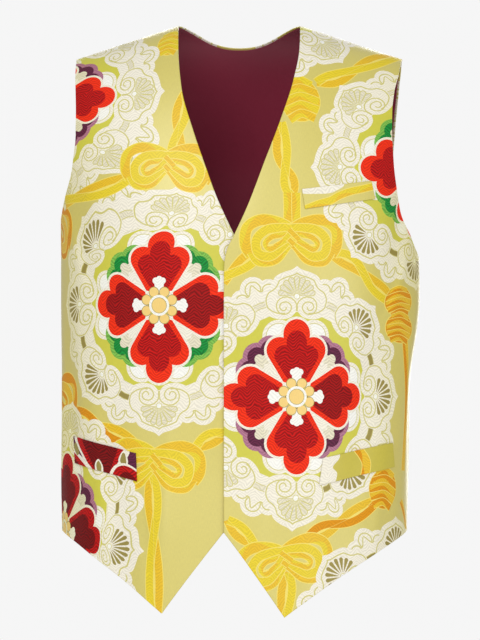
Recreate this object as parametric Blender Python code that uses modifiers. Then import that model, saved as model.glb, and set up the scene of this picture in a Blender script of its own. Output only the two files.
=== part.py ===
"""A brocade waistcoat, filled out as if worn, with nothing inside it.

Metres, +Z up. The front faces -Y and the wearer's left is +X. The origin is between the two neck
points, on the ridge of the shoulders, where the wearer holds the garment up.

Every piece of cloth is a grid of points on one torso surface. A place on that surface is named by
two numbers: "around", the angle from the centre front (positive towards the wearer's left, half a
turn at the centre back), and "fall", the way down the cloth from the ridge of the shoulders.
"""

import math

import bpy
import numpy as np
from mathutils import Vector
from mathutils.bvhtree import BVHTree

MM = 0.001

WALL = 1.6 * MM
LINING_WALL = 1.0 * MM
WELT_WALL = 1.5 * MM
SEAM_GAP = 0.3 * MM
SIDE_SEAM_GAP = 0.45 * MM

NECK_HALF_WIDTH = 65.0 * MM
SHOULDER_SLOPE = 0.33
SLOPE_FADES_AT = 200.0 * MM
SHOULDER_ROUNDING = 240.0 * MM
NECK_POINT = 19.1
RIDGE_CLEARANCE = 0.55 * MM
RIDGE_ROW = 25.92
FRONT_SQUARENESS = 2.4
BACK_SQUARENESS = 2.25

LAP_LIFT = 1.85 * MM
LAP_FULL_WIDTH = 28.0 * MM
LAP_FADES_OVER = 45.0 * MM
RAY_START = 30.0 * MM

SETTLING_ROUNDS = 12
NORMAL_TURN = 0.002
NORMAL_STEP = 0.5 * MM
SEAM_LEVEL_ROW = 4

PANEL_ROWS = 26
FRONT_COLUMNS = 14
BACK_COLUMNS = 12
NECK_COLUMNS = 4
WELT_COLUMNS = 12
WELT_ROWS = 3
WELT_GAP = 0.4 * MM
BACK_NECK_DROP = 22.0
BACK_HEM = -545.0
NECK_CURVE = 2.4

COLLECTION = "waistcoat"

# Level sections of the torso, mm. level: how far below the neck points. right, left: half widths.
# front, back: depths from the side seams' plane.
SECTIONS = (
    dict(level=0, right=200, left=200, front=121, back=103),
    dict(level=100, right=198, left=198, front=124, back=106),
    dict(level=160, right=193, left=193, front=128, back=110),
    dict(level=210, right=191, left=190, front=130, back=110),
    dict(level=290, right=191, left=191, front=129, back=104),
    dict(level=384, right=190, left=182, front=119, back=93),
    dict(level=460, right=190, left=181, front=117, back=97),
    dict(level=548, right=189, left=179, front=121, back=106),
    dict(level=640, right=187, left=177, front=124, back=112),
)

# Inner edges of the two fronts, from the hem up. row: row of the panel's grid. x, z: mm.
RIGHT_FRONT_EDGE = (
    dict(row=0, x=8.0, z=-508),
    dict(row=6, x=8.0, z=-380),
    dict(row=11, x=8.0, z=-272),
    dict(row=12, x=6.5, z=-251),
    dict(row=13, x=0.0, z=-235),
    dict(row=14, x=-9.0, z=-217),
    dict(row=16, x=-24.0, z=-184),
    dict(row=18, x=-36.0, z=-151),
    dict(row=20, x=-49.0, z=-113),
    dict(row=22, x=-61.5, z=-68),
    dict(row=24, x=-65.2, z=-27),
    dict(row=25, x=-65.5, z=-9),
    dict(row=26, x=-65.5, z=0),
)
LEFT_FRONT_EDGE = (
    dict(row=0, x=-16.6, z=-540),
    dict(row=6, x=-16.6, z=-400),
    dict(row=11, x=-16.6, z=-280),
    dict(row=12, x=-16.4, z=-258),
    dict(row=13, x=-13.5, z=-241),
    dict(row=14, x=-6.0, z=-225),
    dict(row=16, x=9.5, z=-191),
    dict(row=18, x=27.0, z=-145),
    dict(row=20, x=43.0, z=-103),
    dict(row=22, x=57.0, z=-60),
    dict(row=24, x=63.8, z=-26),
    dict(row=25, x=64.8, z=-9),
    dict(row=26, x=65.0, z=0),
)

# Outer edges: the side seam and then the armhole. row: as above. around: degrees. z: mm.
# The left armhole hangs lower, as the worn garment does in the photo.
RIGHT_FRONT_ARMHOLE = (
    dict(row=0, around=96.0, z=-539),
    dict(row=7, around=96.0, z=-378),
    dict(row=14, around=96.0, z=-211),
    dict(row=15, around=87.5, z=-206),
    dict(row=16, around=79.0, z=-190),
    dict(row=17, around=72.5, z=-171),
    dict(row=18, around=67.3, z=-150),
    dict(row=20, around=62.4, z=-117),
    dict(row=22, around=61.6, z=-84),
    dict(row=24, around=61.7, z=-57),
    dict(row=25, around=61.3, z=-45),
    dict(row=26, around=60.7, z=-36),
)
LEFT_FRONT_ARMHOLE = (
    dict(row=0, around=96.0, z=-539),
    dict(row=7, around=96.0, z=-396),
    dict(row=14, around=96.0, z=-254),
    dict(row=15, around=88.0, z=-251),
    dict(row=16, around=80.0, z=-241),
    dict(row=17, around=72.5, z=-222),
    dict(row=18, around=66.3, z=-201),
    dict(row=19, around=62.0, z=-181),
    dict(row=20, around=59.0, z=-159),
    dict(row=21, around=57.0, z=-137),
    dict(row=22, around=55.5, z=-115),
    dict(row=23, around=55.2, z=-93),
    dict(row=24, around=56.2, z=-71),
    dict(row=25, around=58.6, z=-52),
    dict(row=26, around=60.7, z=-36),
)
RIGHT_BACK_ARMHOLE = (
    dict(row=0, around=96.0, z=-539),
    dict(row=7, around=96.0, z=-378),
    dict(row=14, around=96.0, z=-211),
    dict(row=15, around=101.0, z=-208),
    dict(row=16, around=106.0, z=-197),
    dict(row=18, around=112.5, z=-168),
    dict(row=20, around=116.0, z=-134),
    dict(row=22, around=117.8, z=-97),
    dict(row=24, around=118.8, z=-62),
    dict(row=25, around=119.1, z=-47),
    dict(row=26, around=119.3, z=-36),
)
LEFT_BACK_ARMHOLE = (
    dict(row=0, around=96.0, z=-539),
    dict(row=7, around=96.0, z=-396),
    dict(row=14, around=96.0, z=-254),
    dict(row=15, around=101.0, z=-251),
    dict(row=16, around=106.0, z=-239),
    dict(row=17, around=111.0, z=-220),
    dict(row=18, around=115.5, z=-199),
    dict(row=19, around=119.0, z=-177),
    dict(row=20, around=121.3, z=-154),
    dict(row=21, around=122.4, z=-131),
    dict(row=22, around=122.1, z=-107),
    dict(row=23, around=121.2, z=-84),
    dict(row=24, around=120.4, z=-64),
    dict(row=25, around=119.7, z=-48),
    dict(row=26, around=119.3, z=-36),
)

FRONT_ARMHOLES = {-1: RIGHT_FRONT_ARMHOLE, 1: LEFT_FRONT_ARMHOLE}
BACK_ARMHOLES = {-1: RIGHT_BACK_ARMHOLE, 1: LEFT_BACK_ARMHOLE}

# The pointed hems. x, z: the point, mm. column: the column of the grid that ends in it.
# curve: how the hem eases from the point towards the side seam.
RIGHT_POINT = dict(x=-82.0, z=-626, column=4, curve=2.1)
LEFT_POINT = dict(x=47.6, z=-630, column=3, curve=2.03)

# The largest folds of the worn cloth. around, width: degrees. level, reach: mm from the neck points
# and up and down the fold. lean: degrees that the fold turns over its reach. height: mm, out.
FOLDS = (
    dict(around=-26, width=7, level=560, reach=120, lean=-4, height=3.5),
    dict(around=-43, width=7, level=520, reach=110, lean=3, height=-3.0),
    dict(around=-72, width=8, level=400, reach=130, lean=5, height=-3.5),
    dict(around=-14, width=6, level=330, reach=90, lean=8, height=2.0),
    dict(around=24, width=7, level=570, reach=100, lean=4, height=2.5),
    dict(around=47, width=8, level=420, reach=120, lean=-8, height=-3.0),
    dict(around=78, width=8, level=330, reach=110, lean=-5, height=3.5),
    dict(around=64, width=7, level=215, reach=60, lean=-9, height=-2.5),
    dict(around=-62, width=7, level=205, reach=60, lean=8, height=-2.0),
    dict(around=-158, width=9, level=420, reach=150, lean=-5, height=-4.0),
    dict(around=155, width=9, level=400, reach=160, lean=6, height=-4.0),
    dict(around=-128, width=10, level=250, reach=120, lean=-7, height=3.5),
    dict(around=130, width=10, level=260, reach=120, lean=6, height=3.0),
)

# Pocket welts by their four corners, each (x, z) in mm, seen from the front.
BREAST_WELT = dict(
    top_in=(66.0, -176), top_out=(139.6, -167), low_in=(69.2, -197), low_out=(143.5, -186)
)
POCKET_WELT_RIGHT = dict(
    top_in=(-109.7, -456), top_out=(-178.6, -438), low_in=(-108.6, -486), low_out=(-176.6, -467)
)
POCKET_WELT_LEFT = dict(
    top_in=(88.3, -461), top_out=(162.1, -445), low_in=(84.0, -490), low_out=(164.2, -471)
)


def column_curve(rows, key, value, at):
    """Read one column of a table as a smooth curve over another column."""
    keys = np.array([row[key] for row in rows], dtype=float)
    values = np.array([row[value] for row in rows], dtype=float)
    secants = np.diff(values) / np.diff(keys)
    before, after = secants[:-1], secants[1:]
    same_way = before * after > 0.0
    mean = 2.0 * before * after / np.where(same_way, before + after, 1.0)
    slopes = np.concatenate((secants[:1], np.where(same_way, mean, 0.0), secants[-1:]))
    index = int(np.clip(np.searchsorted(keys, at) - 1, 0, len(keys) - 2))
    span = keys[index + 1] - keys[index]
    part = float(np.clip((at - keys[index]) / span, 0.0, 1.0))
    rise = part * part * (3.0 - 2.0 * part)
    leave = part * (1.0 - part) ** 2 * span * slopes[index]
    arrive = part * part * (part - 1.0) * span * slopes[index + 1]
    return values[index] * (1.0 - rise) + values[index + 1] * rise + leave + arrive


def ease(value):
    """Go smoothly from 0 to 1 as value does."""
    value = min(max(value, 0.0), 1.0)
    return value * value * (3.0 - 2.0 * value)


def level_of(fall):
    """Height lost below the neck points after a way down the cloth."""
    turn = min(fall / SHOULDER_ROUNDING, math.pi / 2)
    straight = max(fall - SHOULDER_ROUNDING * math.pi / 2, 0.0)
    return SHOULDER_ROUNDING * (1.0 - math.cos(turn)) + straight


def fall_of(level):
    """Way down the cloth to a level, the other way round from level_of."""
    if level >= SHOULDER_ROUNDING:
        return level - SHOULDER_ROUNDING + SHOULDER_ROUNDING * math.pi / 2
    return SHOULDER_ROUNDING * math.acos(1.0 - level / SHOULDER_ROUNDING)


def shoulder_sag(x, level):
    """How far the slope of the shoulder lowers a point at a nominal level."""
    out = max(abs(x) - NECK_HALF_WIDTH, 0.0)
    return SHOULDER_SLOPE * out * max(1.0 - level / SLOPE_FADES_AT, 0.0) ** 2


def half_width(around, level):
    """Half width of the torso on the side that the angle is on."""
    side = "left" if math.sin(around) >= 0.0 else "right"
    return column_curve(SECTIONS, "level", side, level / MM) * MM


def torso_point(around, fall):
    """Point of the smooth torso, before its folds."""
    level = level_of(fall)
    in_front = math.cos(around) >= 0.0
    depth = column_curve(SECTIONS, "level", "front" if in_front else "back", level / MM) * MM
    power = FRONT_SQUARENESS if in_front else BACK_SQUARENESS
    crown = max(1.0 - abs(math.sin(around)) ** power, 0.0) ** (1.0 / power)
    rounding = math.sin(min(fall / SHOULDER_ROUNDING, math.pi / 2))
    x = half_width(around, level) * math.sin(around)
    y = depth * crown * rounding * (-1.0 if in_front else 1.0)
    return Vector((x, y, -level - shoulder_sag(x, level)))


def torso_normal(around, fall):
    """Outward direction of the torso."""
    across = torso_point(around + NORMAL_TURN, fall) - torso_point(around - NORMAL_TURN, fall)
    down = torso_point(around, fall + NORMAL_STEP) - torso_point(around, fall - NORMAL_STEP)
    return down.cross(across).normalized()


def fold_height(around, level):
    """Sum of the folds at one place, out of the torso."""
    height = 0.0
    for fold in FOLDS:
        along = (level / MM - fold["level"]) / fold["reach"]
        centre = fold["around"] + fold["lean"] * along
        away = (math.degrees(around) - centre) / fold["width"]
        height += fold["height"] * math.exp(-away * away - along * along)
    return height * MM


def lap_shift(x, lift, edge, side):
    """How far a front stands out or in where the two fronts lap at the closing."""
    away = (x - edge) * side - LAP_FULL_WIDTH
    return lift * (1.0 - ease(away / LAP_FADES_OVER))


def cloth_point(around, fall, depth, lap):
    """Point of the cloth's outer face, moved in by a depth.

    lap is None, or (lift, edge, side) of a front.
    """
    base = torso_point(around, fall)
    out = fold_height(around, level_of(fall)) - depth
    if lap:
        out += lap_shift(base.x, *lap)
    return base + torso_normal(around, fall) * out


def place_of(x, z):
    """Angle and fall of a place seen from the front at x and z, in mm."""
    level = -z * MM
    for _ in range(SETTLING_ROUNDS):
        level = max(-z * MM - shoulder_sag(x * MM, level), 0.0)
    width = column_curve(SECTIONS, "level", "left" if x >= 0 else "right", level / MM)
    around = math.asin(min(max(x / width, -1.0), 1.0))
    return around, fall_of(level)


def edge_falls(rows, side):
    """Give each row of an armhole table its fall, and its angle in radians on one side."""
    found = []
    for row in rows:
        around = math.radians(row["around"])
        level = -row["z"] * MM
        for _ in range(SETTLING_ROUNDS):
            x = half_width(around * side, level) * math.sin(around)
            level = max(-row["z"] * MM - shoulder_sag(x, level), 0.0)
        found.append(dict(row=row["row"], around=around * side, fall=fall_of(level)))
    found[-1]["fall"] = RIDGE_CLEARANCE
    return found


def panel_rows():
    """A panel's rows, from the hem up, with a narrow last one along the shoulder seam."""
    return [float(r) for r in range(PANEL_ROWS)] + [RIDGE_ROW, float(PANEL_ROWS)]


def front_places(side, edge_rows, point):
    """Grid of (angle, fall) of one front: rows from the hem up, columns from its edge out."""
    inner = []
    for row in edge_rows:
        around, fall = place_of(row["x"], row["z"])
        inner.append(dict(row=row["row"], around=around, fall=fall))
    inner[-1]["fall"] = RIDGE_CLEARANCE
    outer = edge_falls(FRONT_ARMHOLES[side], side)
    seam = SIDE_SEAM_GAP / 2 / (SECTIONS[SEAM_LEVEL_ROW]["front"] * MM)
    tip_around, tip_fall = place_of(point["x"], point["z"])
    grid = []
    for place in panel_rows():
        start = [column_curve(inner, "row", key, place) for key in ("around", "fall")]
        end = [column_curve(outer, "row", key, place) for key in ("around", "fall")]
        end[0] -= side * seam
        first = inner[0]
        last = outer[0]
        pull = (1.0 - place / PANEL_ROWS) ** 2
        row = []
        for c in range(FRONT_COLUMNS + 1):
            part = c / FRONT_COLUMNS
            if c <= point["column"]:
                near = c / point["column"]
                hem_around = first["around"] + (tip_around - first["around"]) * near
                hem_fall = first["fall"] + (tip_fall - first["fall"]) * near
            else:
                far = (c - point["column"]) / (FRONT_COLUMNS - point["column"])
                hem_around = tip_around + (last["around"] - tip_around) * far
                rise = 1.0 - (1.0 - far) ** point["curve"]
                hem_fall = tip_fall + (last["fall"] - tip_fall) * rise
            straight_around = first["around"] + (last["around"] - first["around"]) * part
            straight_fall = first["fall"] + (last["fall"] - first["fall"]) * part
            around = start[0] + (end[0] - start[0]) * part + pull * (hem_around - straight_around)
            fall = start[1] + (end[1] - start[1]) * part + pull * (hem_fall - straight_fall)
            row.append((around, fall))
        grid.append(row)
    return grid


def back_places(side, whole=False):
    """Grid of (angle, fall) of one half of the back: columns from the centre back seam out."""
    outer = edge_falls(BACK_ARMHOLES[side], side)
    centre = side * math.pi
    if not whole:
        centre -= side * SEAM_GAP / 2 / (SECTIONS[SEAM_LEVEL_ROW]["right"] * MM)
    neck_fall = fall_of(BACK_NECK_DROP * MM)
    hem_fall = fall_of(-BACK_HEM * MM)
    neck_around = side * math.radians(180.0 - NECK_POINT)
    seam = SIDE_SEAM_GAP / 2 / (SECTIONS[SEAM_LEVEL_ROW]["back"] * MM)
    grid = []
    for place in panel_rows():
        up = place / PANEL_ROWS
        centre_fall = hem_fall + (neck_fall - hem_fall) * up
        end = [column_curve(outer, "row", key, place) for key in ("around", "fall")]
        end[0] += side * seam
        row = []
        for c in range(BACK_COLUMNS + 1):
            part = c / BACK_COLUMNS
            if c <= NECK_COLUMNS:
                near = c / NECK_COLUMNS
                top_around = centre + (neck_around - centre) * near
                top_fall = RIDGE_CLEARANCE + neck_fall * (1.0 - near**NECK_CURVE)
            else:
                far = (c - NECK_COLUMNS) / (BACK_COLUMNS - NECK_COLUMNS)
                top_around = neck_around + (outer[-1]["around"] - neck_around) * far
                top_fall = RIDGE_CLEARANCE
            straight_around = centre + (outer[-1]["around"] - centre) * part
            straight_fall = neck_fall + (outer[-1]["fall"] - neck_fall) * part
            pull = up**2
            around = centre + (end[0] - centre) * part + pull * (top_around - straight_around)
            fall = centre_fall + (end[1] - centre_fall) * part
            fall += pull * (top_fall - straight_fall)
            row.append((around, fall))
        grid.append(row)
    return grid


def whole_back_places():
    """Both halves of the back as one grid, from the right side seam to the left one."""
    right = back_places(-1, whole=True)
    left = back_places(1, whole=True)
    return [list(reversed(a)) + b[1:] for a, b in zip(right, left)]


def sheet_mesh(name, points, outward):
    """Mesh of rows of points, its faces pointing out of the torso."""
    vertices = [point for row in points for point in row]
    columns = len(points[0])
    faces = []
    for r in range(len(points) - 1):
        for c in range(columns - 1):
            corner = r * columns + c
            face = (corner, corner + 1, corner + columns + 1, corner + columns)
            faces.append(face if outward else face[::-1])
    mesh = bpy.data.meshes.new(name)
    mesh.from_pydata(vertices, [], faces)
    mesh.shade_smooth()
    return mesh


def add_cloth(name, points, wall, material, outward, offset=-1.0):
    """One piece of cloth: a sheet thickened by Solidify, inwards unless offset is 1."""
    mesh = sheet_mesh(name, points, outward)
    mesh.materials.append(material)
    piece = bpy.data.objects.new(name, mesh)
    bpy.data.collections[COLLECTION].objects.link(piece)
    thicken = piece.modifiers.new("cloth", "SOLIDIFY")
    thicken.thickness = wall
    thicken.offset = offset
    thicken.use_even_offset = True
    thicken.use_quality_normals = True
    return piece


def cloth_points(places, depth, lap=None):
    """Points of a grid of places at one depth."""
    return [[cloth_point(around, fall, depth, lap) for around, fall in row] for row in places]


def add_welt(name, corners, front, lap, material, outward):
    """A pocket welt: a strip between four corners, laid on the outer face of its front.

    It clears both the flat faces of the front's grid and the round form that they stand for.
    """
    sheet = front.data
    sheet.calc_loop_triangles()
    triangles = [tuple(triangle.vertices) for triangle in sheet.loop_triangles]
    face = BVHTree.FromPolygons([vertex.co for vertex in sheet.vertices], triangles)
    rows = []
    for r in range(WELT_ROWS + 1):
        up = r / WELT_ROWS
        row = []
        for c in range(WELT_COLUMNS + 1):
            out = c / WELT_COLUMNS
            low = Vector(corners["low_in"]).lerp(Vector(corners["low_out"]), out)
            top = Vector(corners["top_in"]).lerp(Vector(corners["top_out"]), out)
            around, fall = place_of(*low.lerp(top, up))
            normal = torso_normal(around, fall)
            form = cloth_point(around, fall, 0.0, lap)
            seat = face.ray_cast(form + normal * RAY_START, -normal)[0]
            proud = max((form - seat).dot(normal), 0.0)
            row.append(seat + normal * (proud + WELT_GAP))
        rows.append(row)
    return add_cloth(name, rows, WELT_WALL, material, outward, offset=1.0)


def make_material(name, colour, roughness):
    """A plain material of one colour."""
    material = bpy.data.materials.new(name)
    material.use_nodes = True
    shader = material.node_tree.nodes["Principled BSDF"]
    shader.inputs["Base Color"].default_value = (*colour, 1.0)
    shader.inputs["Roughness"].default_value = roughness
    shader.inputs["Metallic"].default_value = 0.0
    material.diffuse_color = (*colour, 1.0)
    return material


def clear_scene():
    """Remove whatever the scene holds and add the collection for the waistcoat."""
    for item in list(bpy.data.objects):
        bpy.data.objects.remove(item, do_unlink=True)
    collection = bpy.data.collections.new(COLLECTION)
    bpy.context.scene.collection.children.link(collection)


def main():
    """Build every piece of the waistcoat."""
    clear_scene()
    brocade = make_material("brocade", (0.82, 0.76, 0.36), 0.45)
    maroon = make_material("maroon_lining", (0.20, 0.02, 0.04), 0.5)
    crimson = make_material("crimson_welt", (0.42, 0.03, 0.03), 0.45)
    lime = make_material("lime_welt", (0.70, 0.66, 0.18), 0.45)

    right_lap = (-LAP_LIFT, RIGHT_FRONT_EDGE[0]["x"] * MM, -1)
    left_lap = (LAP_LIFT, LEFT_FRONT_EDGE[0]["x"] * MM, 1)
    right = front_places(-1, RIGHT_FRONT_EDGE, RIGHT_POINT)
    left = front_places(1, LEFT_FRONT_EDGE, LEFT_POINT)
    inside = WALL + SEAM_GAP

    front_right = add_cloth(
        "front_right", cloth_points(right, 0.0, right_lap), WALL, brocade, False
    )
    front_left = add_cloth("front_left", cloth_points(left, 0.0, left_lap), WALL, brocade, True)
    add_cloth("back_right", cloth_points(back_places(-1), 0.0), WALL, brocade, True)
    add_cloth("back_left", cloth_points(back_places(1), 0.0), WALL, brocade, False)
    add_cloth(
        "lining_front_right", cloth_points(right, inside, right_lap), LINING_WALL, maroon, False
    )
    add_cloth(
        "lining_front_left", cloth_points(left, inside, left_lap), LINING_WALL, maroon, True
    )
    add_cloth(
        "lining_back", cloth_points(whole_back_places(), inside), LINING_WALL, maroon, False
    )
    add_welt("breast_welt", BREAST_WELT, front_left, left_lap, lime, True)
    add_welt("pocket_welt_right", POCKET_WELT_RIGHT, front_right, right_lap, crimson, False)
    add_welt("pocket_welt_left", POCKET_WELT_LEFT, front_left, left_lap, lime, True)


main()
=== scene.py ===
"""Looks of a brocade waistcoat, filled out as if worn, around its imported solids.

Metres, +Z up, the front faces -Y and the wearer's left is +X. The cloth lies on the torso surface of
the part's source. Its pattern is drawn flat, in millimetres: a point of the cloth is a complex number
whose real part goes round from the centre line towards the wearer's left, and whose imaginary part
goes up the cloth from the ridge of the shoulders, so it is negative.
"""

import cmath
import logging
import math
from collections.abc import Callable, Sequence
from dataclasses import dataclass, field
from enum import Enum

import bpy
import numpy as np
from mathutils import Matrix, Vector
from mathutils.geometry import delaunay_2d_cdt


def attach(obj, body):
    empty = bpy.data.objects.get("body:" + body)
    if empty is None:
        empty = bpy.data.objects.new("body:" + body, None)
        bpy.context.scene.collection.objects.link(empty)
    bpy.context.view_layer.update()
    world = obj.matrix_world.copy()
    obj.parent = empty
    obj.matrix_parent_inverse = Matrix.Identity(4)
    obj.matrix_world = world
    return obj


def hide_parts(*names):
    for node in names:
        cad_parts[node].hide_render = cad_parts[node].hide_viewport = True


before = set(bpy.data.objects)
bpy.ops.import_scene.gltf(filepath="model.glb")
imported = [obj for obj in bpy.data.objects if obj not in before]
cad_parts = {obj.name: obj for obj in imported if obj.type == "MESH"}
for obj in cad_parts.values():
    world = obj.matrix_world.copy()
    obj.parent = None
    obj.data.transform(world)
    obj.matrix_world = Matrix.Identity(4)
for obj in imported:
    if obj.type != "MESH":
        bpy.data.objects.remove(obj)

MM = 0.001
TINY = 1e-9

# The front view: mm in one of its units, its size, and where the centre line and the neck points are.
VIEW_UNIT = 1.07
VIEW_WIDTH = 480
VIEW_HEIGHT = 640
CENTRE_LINE = 239.5
NECK_LINE = 26.0

Flat = np.ndarray
Row = dict[str, float]

log = logging.getLogger("waistcoat")


def table(columns: str, *rows: tuple[float, ...]) -> tuple[Row, ...]:
    """Make a table from the names of its columns and its rows of numbers."""
    return tuple(dict(zip(columns.split(), row)) for row in rows)


# Level sections of the torso, mm. level: below the neck points. right, left: half widths.
# front, back: depths from the side seams' plane.
SECTIONS = table(
    "level right left front back",
    (0, 200, 200, 121, 103),
    (100, 198, 198, 124, 106),
    (160, 193, 193, 128, 110),
    (210, 191, 190, 130, 110),
    (290, 191, 191, 129, 104),
    (384, 190, 182, 119, 93),
    (460, 190, 181, 117, 97),
    (548, 189, 179, 121, 106),
    (640, 187, 177, 124, 112),
)

# Inner edges of the two fronts, from the hem up. row: place along the edge. x, z: mm.
RIGHT_FRONT_EDGE = table(
    "row x z",
    (0, 8.0, -508),
    (6, 8.0, -380),
    (11, 8.0, -272),
    (12, 6.5, -251),
    (13, 0.0, -235),
    (14, -9.0, -217),
    (16, -24.0, -184),
    (18, -36.0, -151),
    (20, -49.0, -113),
    (22, -61.5, -68),
    (24, -65.2, -27),
    (25, -65.5, -9),
    (26, -65.5, 0),
)
LEFT_FRONT_EDGE = table(
    "row x z",
    (0, -16.6, -540),
    (6, -16.6, -400),
    (11, -16.6, -280),
    (12, -16.4, -258),
    (13, -13.5, -241),
    (14, -6.0, -225),
    (16, 9.5, -191),
    (18, 27.0, -145),
    (20, 43.0, -103),
    (22, 57.0, -60),
    (24, 63.8, -26),
    (25, 64.8, -9),
    (26, 65.0, 0),
)

# Outer edges: the side seam and then the armhole. row: as above. around: degrees. z: mm.
RIGHT_SIDE_SEAM = ((0, 96.0, -539), (7, 96.0, -378), (14, 96.0, -211))
LEFT_SIDE_SEAM = ((0, 96.0, -539), (7, 96.0, -396), (14, 96.0, -254))
RIGHT_FRONT_ARMHOLE = table(
    "row around z",
    *RIGHT_SIDE_SEAM,
    (15, 87.5, -206),
    (16, 79.0, -190),
    (17, 72.5, -171),
    (18, 67.3, -150),
    (20, 62.4, -117),
    (22, 61.6, -84),
    (24, 61.7, -57),
    (25, 61.3, -45),
    (26, 60.7, -36),
)
LEFT_FRONT_ARMHOLE = table(
    "row around z",
    *LEFT_SIDE_SEAM,
    (15, 88.0, -251),
    (16, 80.0, -241),
    (17, 72.5, -222),
    (18, 66.3, -201),
    (19, 62.0, -181),
    (20, 59.0, -159),
    (21, 57.0, -137),
    (22, 55.5, -115),
    (23, 55.2, -93),
    (24, 56.2, -71),
    (25, 58.6, -52),
    (26, 60.7, -36),
)
RIGHT_BACK_ARMHOLE = table(
    "row around z",
    *RIGHT_SIDE_SEAM,
    (15, 101.0, -208),
    (16, 106.0, -197),
    (18, 112.5, -168),
    (20, 116.0, -134),
    (22, 117.8, -97),
    (24, 118.8, -62),
    (25, 119.1, -47),
    (26, 119.3, -36),
)
LEFT_BACK_ARMHOLE = table(
    "row around z",
    *LEFT_SIDE_SEAM,
    (15, 101.0, -251),
    (16, 106.0, -239),
    (17, 111.0, -220),
    (18, 115.5, -199),
    (19, 119.0, -177),
    (20, 121.3, -154),
    (21, 122.4, -131),
    (22, 122.1, -107),
    (23, 121.2, -84),
    (24, 120.4, -64),
    (25, 119.7, -48),
    (26, 119.3, -36),
)
TOP_ROW = 26
SIDE_SEAM_ROW = 14

# The fall of the shoulder seam, and half the gap at a side seam in mm.
SHOULDER_SEAM = 0.3 * MM
SIDE_SEAM_HALF = 0.1

# The largest folds, as in the solids, and then the fine ones of the cloth alone. around, width:
# degrees. level, reach: mm down and along. lean: degrees turned over the reach. height: mm, out.
FOLDS = table(
    "around width level reach lean height",
    (-26, 7, 560, 120, -4, 3.5),
    (-43, 7, 520, 110, 3, -3.0),
    (-72, 8, 400, 130, 5, -3.5),
    (-14, 6, 330, 90, 8, 2.0),
    (24, 7, 570, 100, 4, 2.5),
    (47, 8, 420, 120, -8, -3.0),
    (78, 8, 330, 110, -5, 3.5),
    (64, 7, 215, 60, -9, -2.5),
    (-62, 7, 205, 60, 8, -2.0),
    (-158, 9, 420, 150, -5, -4.0),
    (155, 9, 400, 160, 6, -4.0),
    (-128, 10, 250, 120, -7, 3.5),
    (130, 10, 260, 120, 6, 3.0),
)
CREASES = table(
    "around width level reach lean height",
    (-24, 2.2, 505, 75, -1, 0.9),
    (-31, 2.6, 560, 60, 2, -1.0),
    (-52, 3.0, 470, 70, 3, 0.9),
    (-66, 3.2, 240, 42, 6, 0.9),
    (-58, 2.8, 262, 36, 7, -0.8),
    (-40, 3.4, 350, 60, -6, -0.7),
    (12, 2.6, 470, 70, -2, -0.8),
    (33, 3.0, 300, 55, 9, 0.7),
    (55, 3.2, 520, 60, -3, 0.9),
    (66, 3.0, 262, 40, -7, 0.9),
    (58, 2.6, 285, 36, -8, -0.8),
    (84, 3.2, 440, 70, 3, -1.0),
    (-85, 3.2, 470, 80, -3, 1.0),
    (-170, 3.0, 330, 110, 2, -0.9),
    (168, 3.2, 300, 90, -3, 0.9),
    (-146, 3.4, 200, 60, -5, -1.0),
    (145, 3.2, 215, 60, 5, -0.9),
    (-112, 3.2, 300, 60, -6, 0.9),
    (112, 3.2, 320, 60, 6, 1.0),
    (-138, 3.4, 480, 60, 3, 0.8),
    (134, 3.4, 470, 60, -3, -0.8),
)



class Side(Enum):
    """Side of the wearer."""

    RIGHT = -1
    LEFT = 1


class Facing(Enum):
    """Which way a piece of cloth shows its face."""

    OUT = 1
    IN = -1


FRONT_ARMHOLES = {Side.RIGHT: RIGHT_FRONT_ARMHOLE, Side.LEFT: LEFT_FRONT_ARMHOLE}
BACK_ARMHOLES = {Side.RIGHT: RIGHT_BACK_ARMHOLE, Side.LEFT: LEFT_BACK_ARMHOLE}


def curve(rows: Sequence[Row], key: str, value: str, at: np.ndarray) -> np.ndarray:
    """Read one column of a table as a smooth curve over another column.

    Args:
        rows: the table.
        key: name of the column that grows.
        value: name of the column to read.
        at: places along the first column.

    Returns:
        The values there, with no overshoot between the rows.
    """
    keys = np.array([row[key] for row in rows], dtype=float)
    values = np.array([row[value] for row in rows], dtype=float)
    secants = np.diff(values) / np.diff(keys)
    before, after = secants[:-1], secants[1:]
    same_way = before * after > 0.0
    mean = 2.0 * before * after / np.where(same_way, before + after, 1.0)
    slopes = np.concatenate((secants[:1], np.where(same_way, mean, 0.0), secants[-1:]))
    at = np.asarray(at, dtype=float)
    index = np.clip(np.searchsorted(keys, at) - 1, 0, len(keys) - 2)
    span = keys[index + 1] - keys[index]
    part = np.clip((at - keys[index]) / span, 0.0, 1.0)
    rise = part * part * (3.0 - 2.0 * part)
    leave = part * (1.0 - part) ** 2 * span * slopes[index]
    arrive = part * part * (part - 1.0) * span * slopes[index + 1]
    return values[index] * (1.0 - rise) + values[index + 1] * rise + leave + arrive


def ease(value: np.ndarray) -> np.ndarray:
    """Go smoothly from 0 to 1 as value does."""
    value = np.clip(value, 0.0, 1.0)
    return value * value * (3.0 - 2.0 * value)


@dataclass(frozen=True)
class Lap:
    """How a front stands out or in where the two fronts lap at the closing. Metres.

    lift is how far out it stands, from its edge over the full width, and it fades beyond that.
    """

    lift: float
    edge: float
    side: Side
    full: float = 28.0 * MM
    fades_over: float = 45.0 * MM

    def shift(self, x: np.ndarray) -> np.ndarray:
        """Give the shift at places x across the front."""
        away = (x - self.edge) * self.side.value - self.full
        return self.lift * (1.0 - ease(away / self.fades_over))


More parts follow.
